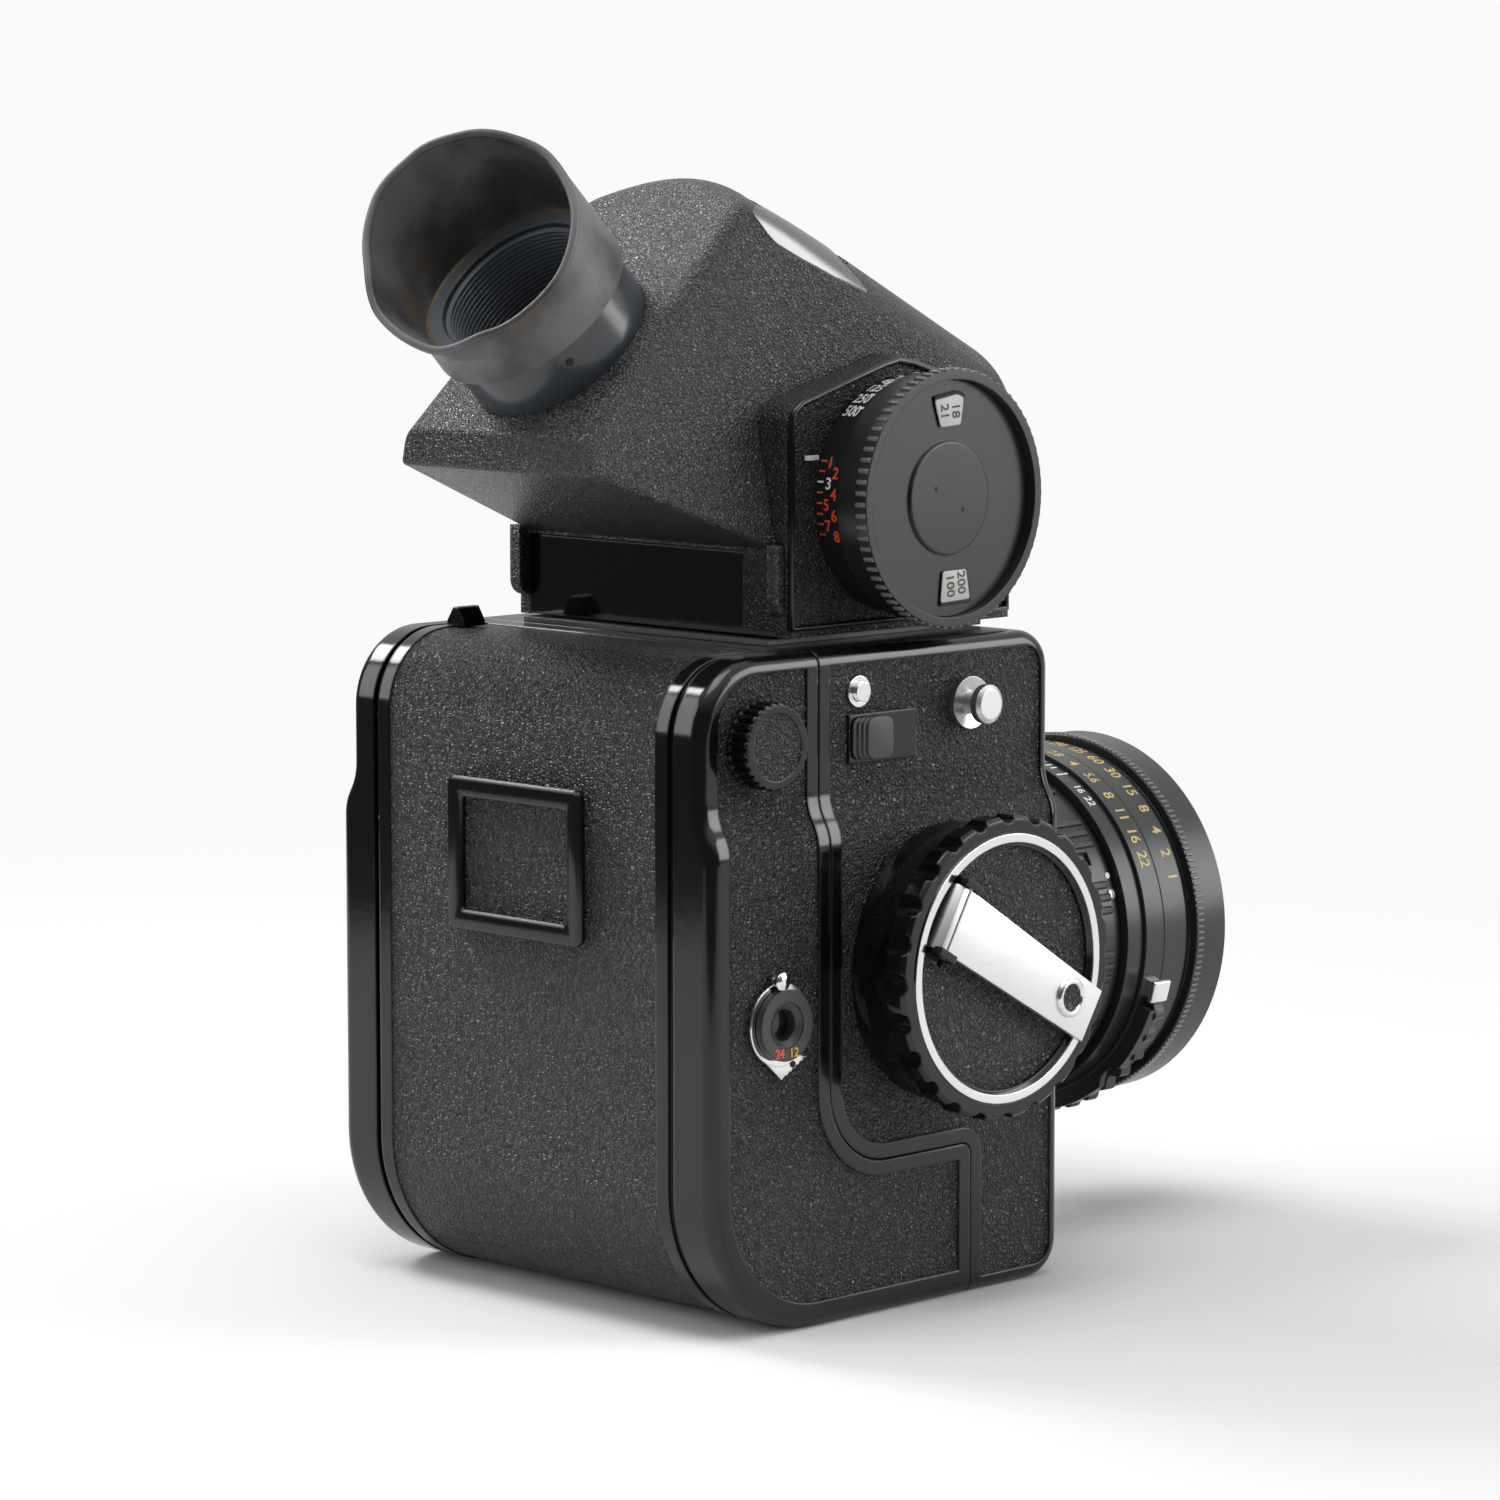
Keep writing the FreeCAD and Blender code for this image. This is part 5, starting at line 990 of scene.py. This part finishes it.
print("adding the lens grips")
lensGrip = {
    "bead": [(34.4, -0.4), (34.95, -0.2), (34.95, 0.2), (34.4, 0.4)],
    "beadPlace": (141.3, 143.0),
    "beads": 190,
    "rib": [(31.0, -0.85), (31.75, -0.6), (31.75, 0.6), (31.0, 0.85)],
    "ribPlace": (97.0, 121.4),
    "ribGroups": 15,
    "firstRib": 16,
    "ribsInGroup": 3,
    "ribStep": 4.4,
    "dot": [(0.01, 31.15), (0.62, 31.15), (0.6, 31.3), (0.01, 31.32)],
    "dotPlace": (157, 122.2),
    "screw": [(0.01, 31.0), (0.95, 31.0), (0.95, 31.45), (0.8, 31.55), (0.01, 31.58)],
    "screwPlace": (163.5, 122.0),
    "screwSlot": oblong(0.28, 2.4),
    "slotPlace": (31.3, 32.0),
}
bead = plate("rimBeads", lensGrip["bead"], *lensGrip["beadPlace"])
beads = aroundZ(bead, [step * 360 / lensGrip["beads"] for step in range(lensGrip["beads"])])
onLens(beads, "lens_front", "steel", finishes["teethWearAndGlint"])
rib = plate("focusRibs", lensGrip["rib"], *lensGrip["ribPlace"], edge=0.2)
angles = [group * 360 / lensGrip["ribGroups"] + lensGrip["firstRib"] + step * lensGrip["ribStep"]
          for group in range(lensGrip["ribGroups"]) for step in range(lensGrip["ribsInGroup"])]
onLens(aroundZ(rib, angles), "focus", "lens_black")
dot = outward(turned("focusDot", lensGrip["dot"], 24), *lensGrip["dotPlace"])
onLens(dot, "focus", "lens_black", inks["whiteInk"])
screw = turned("focusScrew", lensGrip["screw"], 28)
cutOut(screw, plate("slotCut", lensGrip["screwSlot"], *lensGrip["slotPlace"]))
onLens(outward(screw, *lensGrip["screwPlace"]), "focus", "steel")

print("waving the aperture ring's skirt")
skirt = {
    "from": 200,
    "to": 340,
    "inner": 33.4,
    "middle": 36.3,
    "wave": 0.75,
    "period": 7.8,
    "place": (130.4, 133.0),
    "lever": oblong(4.6, 4.3),
    "leverPlace": (35.3, 36.5),
    "leverCorner": 0.5,
    "leverRound": 0.35,
    "stem": oblong(3.0, 3.2),
    "stemPlace": (33.2, 35.5),
    "leverAt": (196, 130.6),
}


def aroundLens(radius, angle):
    return radius * math.cos(math.radians(angle)), radius * math.sin(math.radians(angle))


rim = []
for angle in range(skirt["from"], skirt["to"] + 1):
    swing = math.cos(math.radians((angle - skirt["from"]) * 360 / skirt["period"]))
    rim.append(aroundLens(skirt["middle"] - skirt["wave"] * swing, angle))
for angle in range(skirt["to"], skirt["from"] - 1, -2):
    rim.append(aroundLens(skirt["inner"], angle))
onLens(plate("stopSkirt", rim, *skirt["place"]), "aperture", "ring_print", finishes["satin_black"])
lever = plate("stopLever", skirt["lever"], *skirt["leverPlace"],
              corner=skirt["leverCorner"], edge=skirt["leverRound"])
stem = plate("stem", skirt["stem"], *skirt["stemPlace"])
lever = outward(joined("stopLever", [lever, stem]), *skirt["leverAt"])
onLens(lever, "aperture", "chrome")

print("setting the studio")
photoCamera = {
    "place": (-0.6973, 0.7179, 0.2138),
    "pitch": -6.927,
    "heading": -135.038,
    "focal": 5492.7,
    "photoWidth": 1500.0,
    "sensor": 36.0,
}
bpy.ops.object.camera_add(
    location=photoCamera["place"],
    rotation=(math.radians(90 + photoCamera["pitch"]), 0, math.radians(photoCamera["heading"])))
camera = bpy.context.object
camera.data.sensor_width = photoCamera["sensor"]
camera.data.lens = photoCamera["focal"] / photoCamera["photoWidth"] * photoCamera["sensor"]
bpy.context.scene.camera = camera

studio = {
    # How far the paper goes to the left, to the right, towards the camera and away from it.
    "paper": (-0.5, 3.0, 0.42, 6.0),
    "ahead": (0.713, -0.701, 0.0),
    "floorTone": 0.88,
    "fade": (0.16, 0.6),
    "white": 0.955,
    "lamps": [
        # name, place, size, power, aim
        ("leftSoftbox", (1.15, 1.3, 0.8), 1.2, 13.0, (0, 0.02, 0.1)),
        ("rightSoftbox", (-1.3, -1.15, 0.6), 1.0, 15.5, (0, 0.02, 0.1)),
        ("topSoftbox", (-0.25, 0.3, 1.6), 1.0, 11.5, (0, 0.02, 0.1)),
        ("hairSoftbox", (1.05, 0.25, 1.15), 0.5, 10.5, (0, 0.02, 0.12)),
    ],
    "world": 0.27,
    # How white the surroundings show in glass and metal, from the dark side to the bright one.
    "bright": (0.0, -0.42, 0.91),
    "shown": (0.15, 0.7),
    "dim": 0.1,
}


def seenRay(wire):
    # 1 for what the camera sees, also through glass or in a reflection, 0 for the light that falls on things.
    kinds = [wire.node("ShaderNodeLightPath", {}, {}, kind)
             for kind in ("Is Camera Ray", "Is Glossy Ray", "Is Transmission Ray")]
    return wire.maths("MINIMUM", kinds[0] + kinds[1] + kinds[2], 1.0)


bpy.ops.object.select_all(action="DESELECT")
bpy.ops.mesh.primitive_plane_add(size=1)
floor = bpy.context.object
floor.name = "studioFloor"
left, right, near, back = studio["paper"]
ahead = Vector(studio["ahead"])
side = Vector((ahead.y, -ahead.x, 0))
corners = [side * across + ahead * along for along in (-near, back) for across in (left, right)]
for vert, corner in zip(floor.data.vertices, corners):
    vert.co = corner
bpy.ops.object.mode_set(mode="EDIT")
bpy.ops.mesh.normals_make_consistent(inside=False)
bpy.ops.object.mode_set(mode="OBJECT")
floorFinish, wire, shader = newFinish("studioPaper", Roughness=0.9)
shader.inputs["Base Color"].default_value = grey(studio["floorTone"])
distance = wire.node("ShaderNodeVectorMath", {"operation": "LENGTH"}, {0: wire.spot()}, "Value")
far = distance.ramp(*studio["fade"])
plain = wire.node("ShaderNodeEmission", {}, {"Color": (1, 1, 1, 1), "Strength": studio["white"]})
blend = wire.node("ShaderNodeMixShader", {}, {0: far * seenRay(wire), 2: plain})
wire.tree.links.new(shader.outputs[0], blend.socket.node.inputs[1])
wire.tree.links.new(blend.socket, wire.tree.nodes["Material Output"].inputs["Surface"])
floor.data.materials.append(floorFinish)

for name, place, size, power, aim in studio["lamps"]:
    bpy.ops.object.light_add(type="AREA", location=place)
    lamp = bpy.context.object
    lamp.name = name
    lamp.data.size = size
    lamp.data.energy = power
    lamp.rotation_euler = (Vector(place) - Vector(aim)).to_track_quat("Z", "Y").to_euler()

world = bpy.data.worlds.new("studioWorld")
bpy.context.scene.world = world
world.use_nodes = True
wire = Wire(world.node_tree)
ahead = wire.node("ShaderNodeVectorMath", {"operation": "DOT_PRODUCT"},
                  {0: wire.node("ShaderNodeTexCoord", {}, {}, "Generated"), 1: studio["bright"]}, "Value")
shown = ahead.ramp(*studio["shown"]) * (studio["white"] - studio["dim"]) + studio["dim"]
unseen = seenRay(wire) * (shown - studio["world"]) + studio["world"]
direct = wire.node("ShaderNodeLightPath", {}, {}, "Is Camera Ray")
strength = direct * (unseen * -1.0 + studio["white"]) + unseen
sky = world.node_tree.nodes["Background"]
sky.inputs["Color"].default_value = (1, 1, 1, 1)
world.node_tree.links.new(strength.socket, sky.inputs["Strength"])
bpy.context.scene.view_settings.view_transform = "Standard"

print("camera dressed")
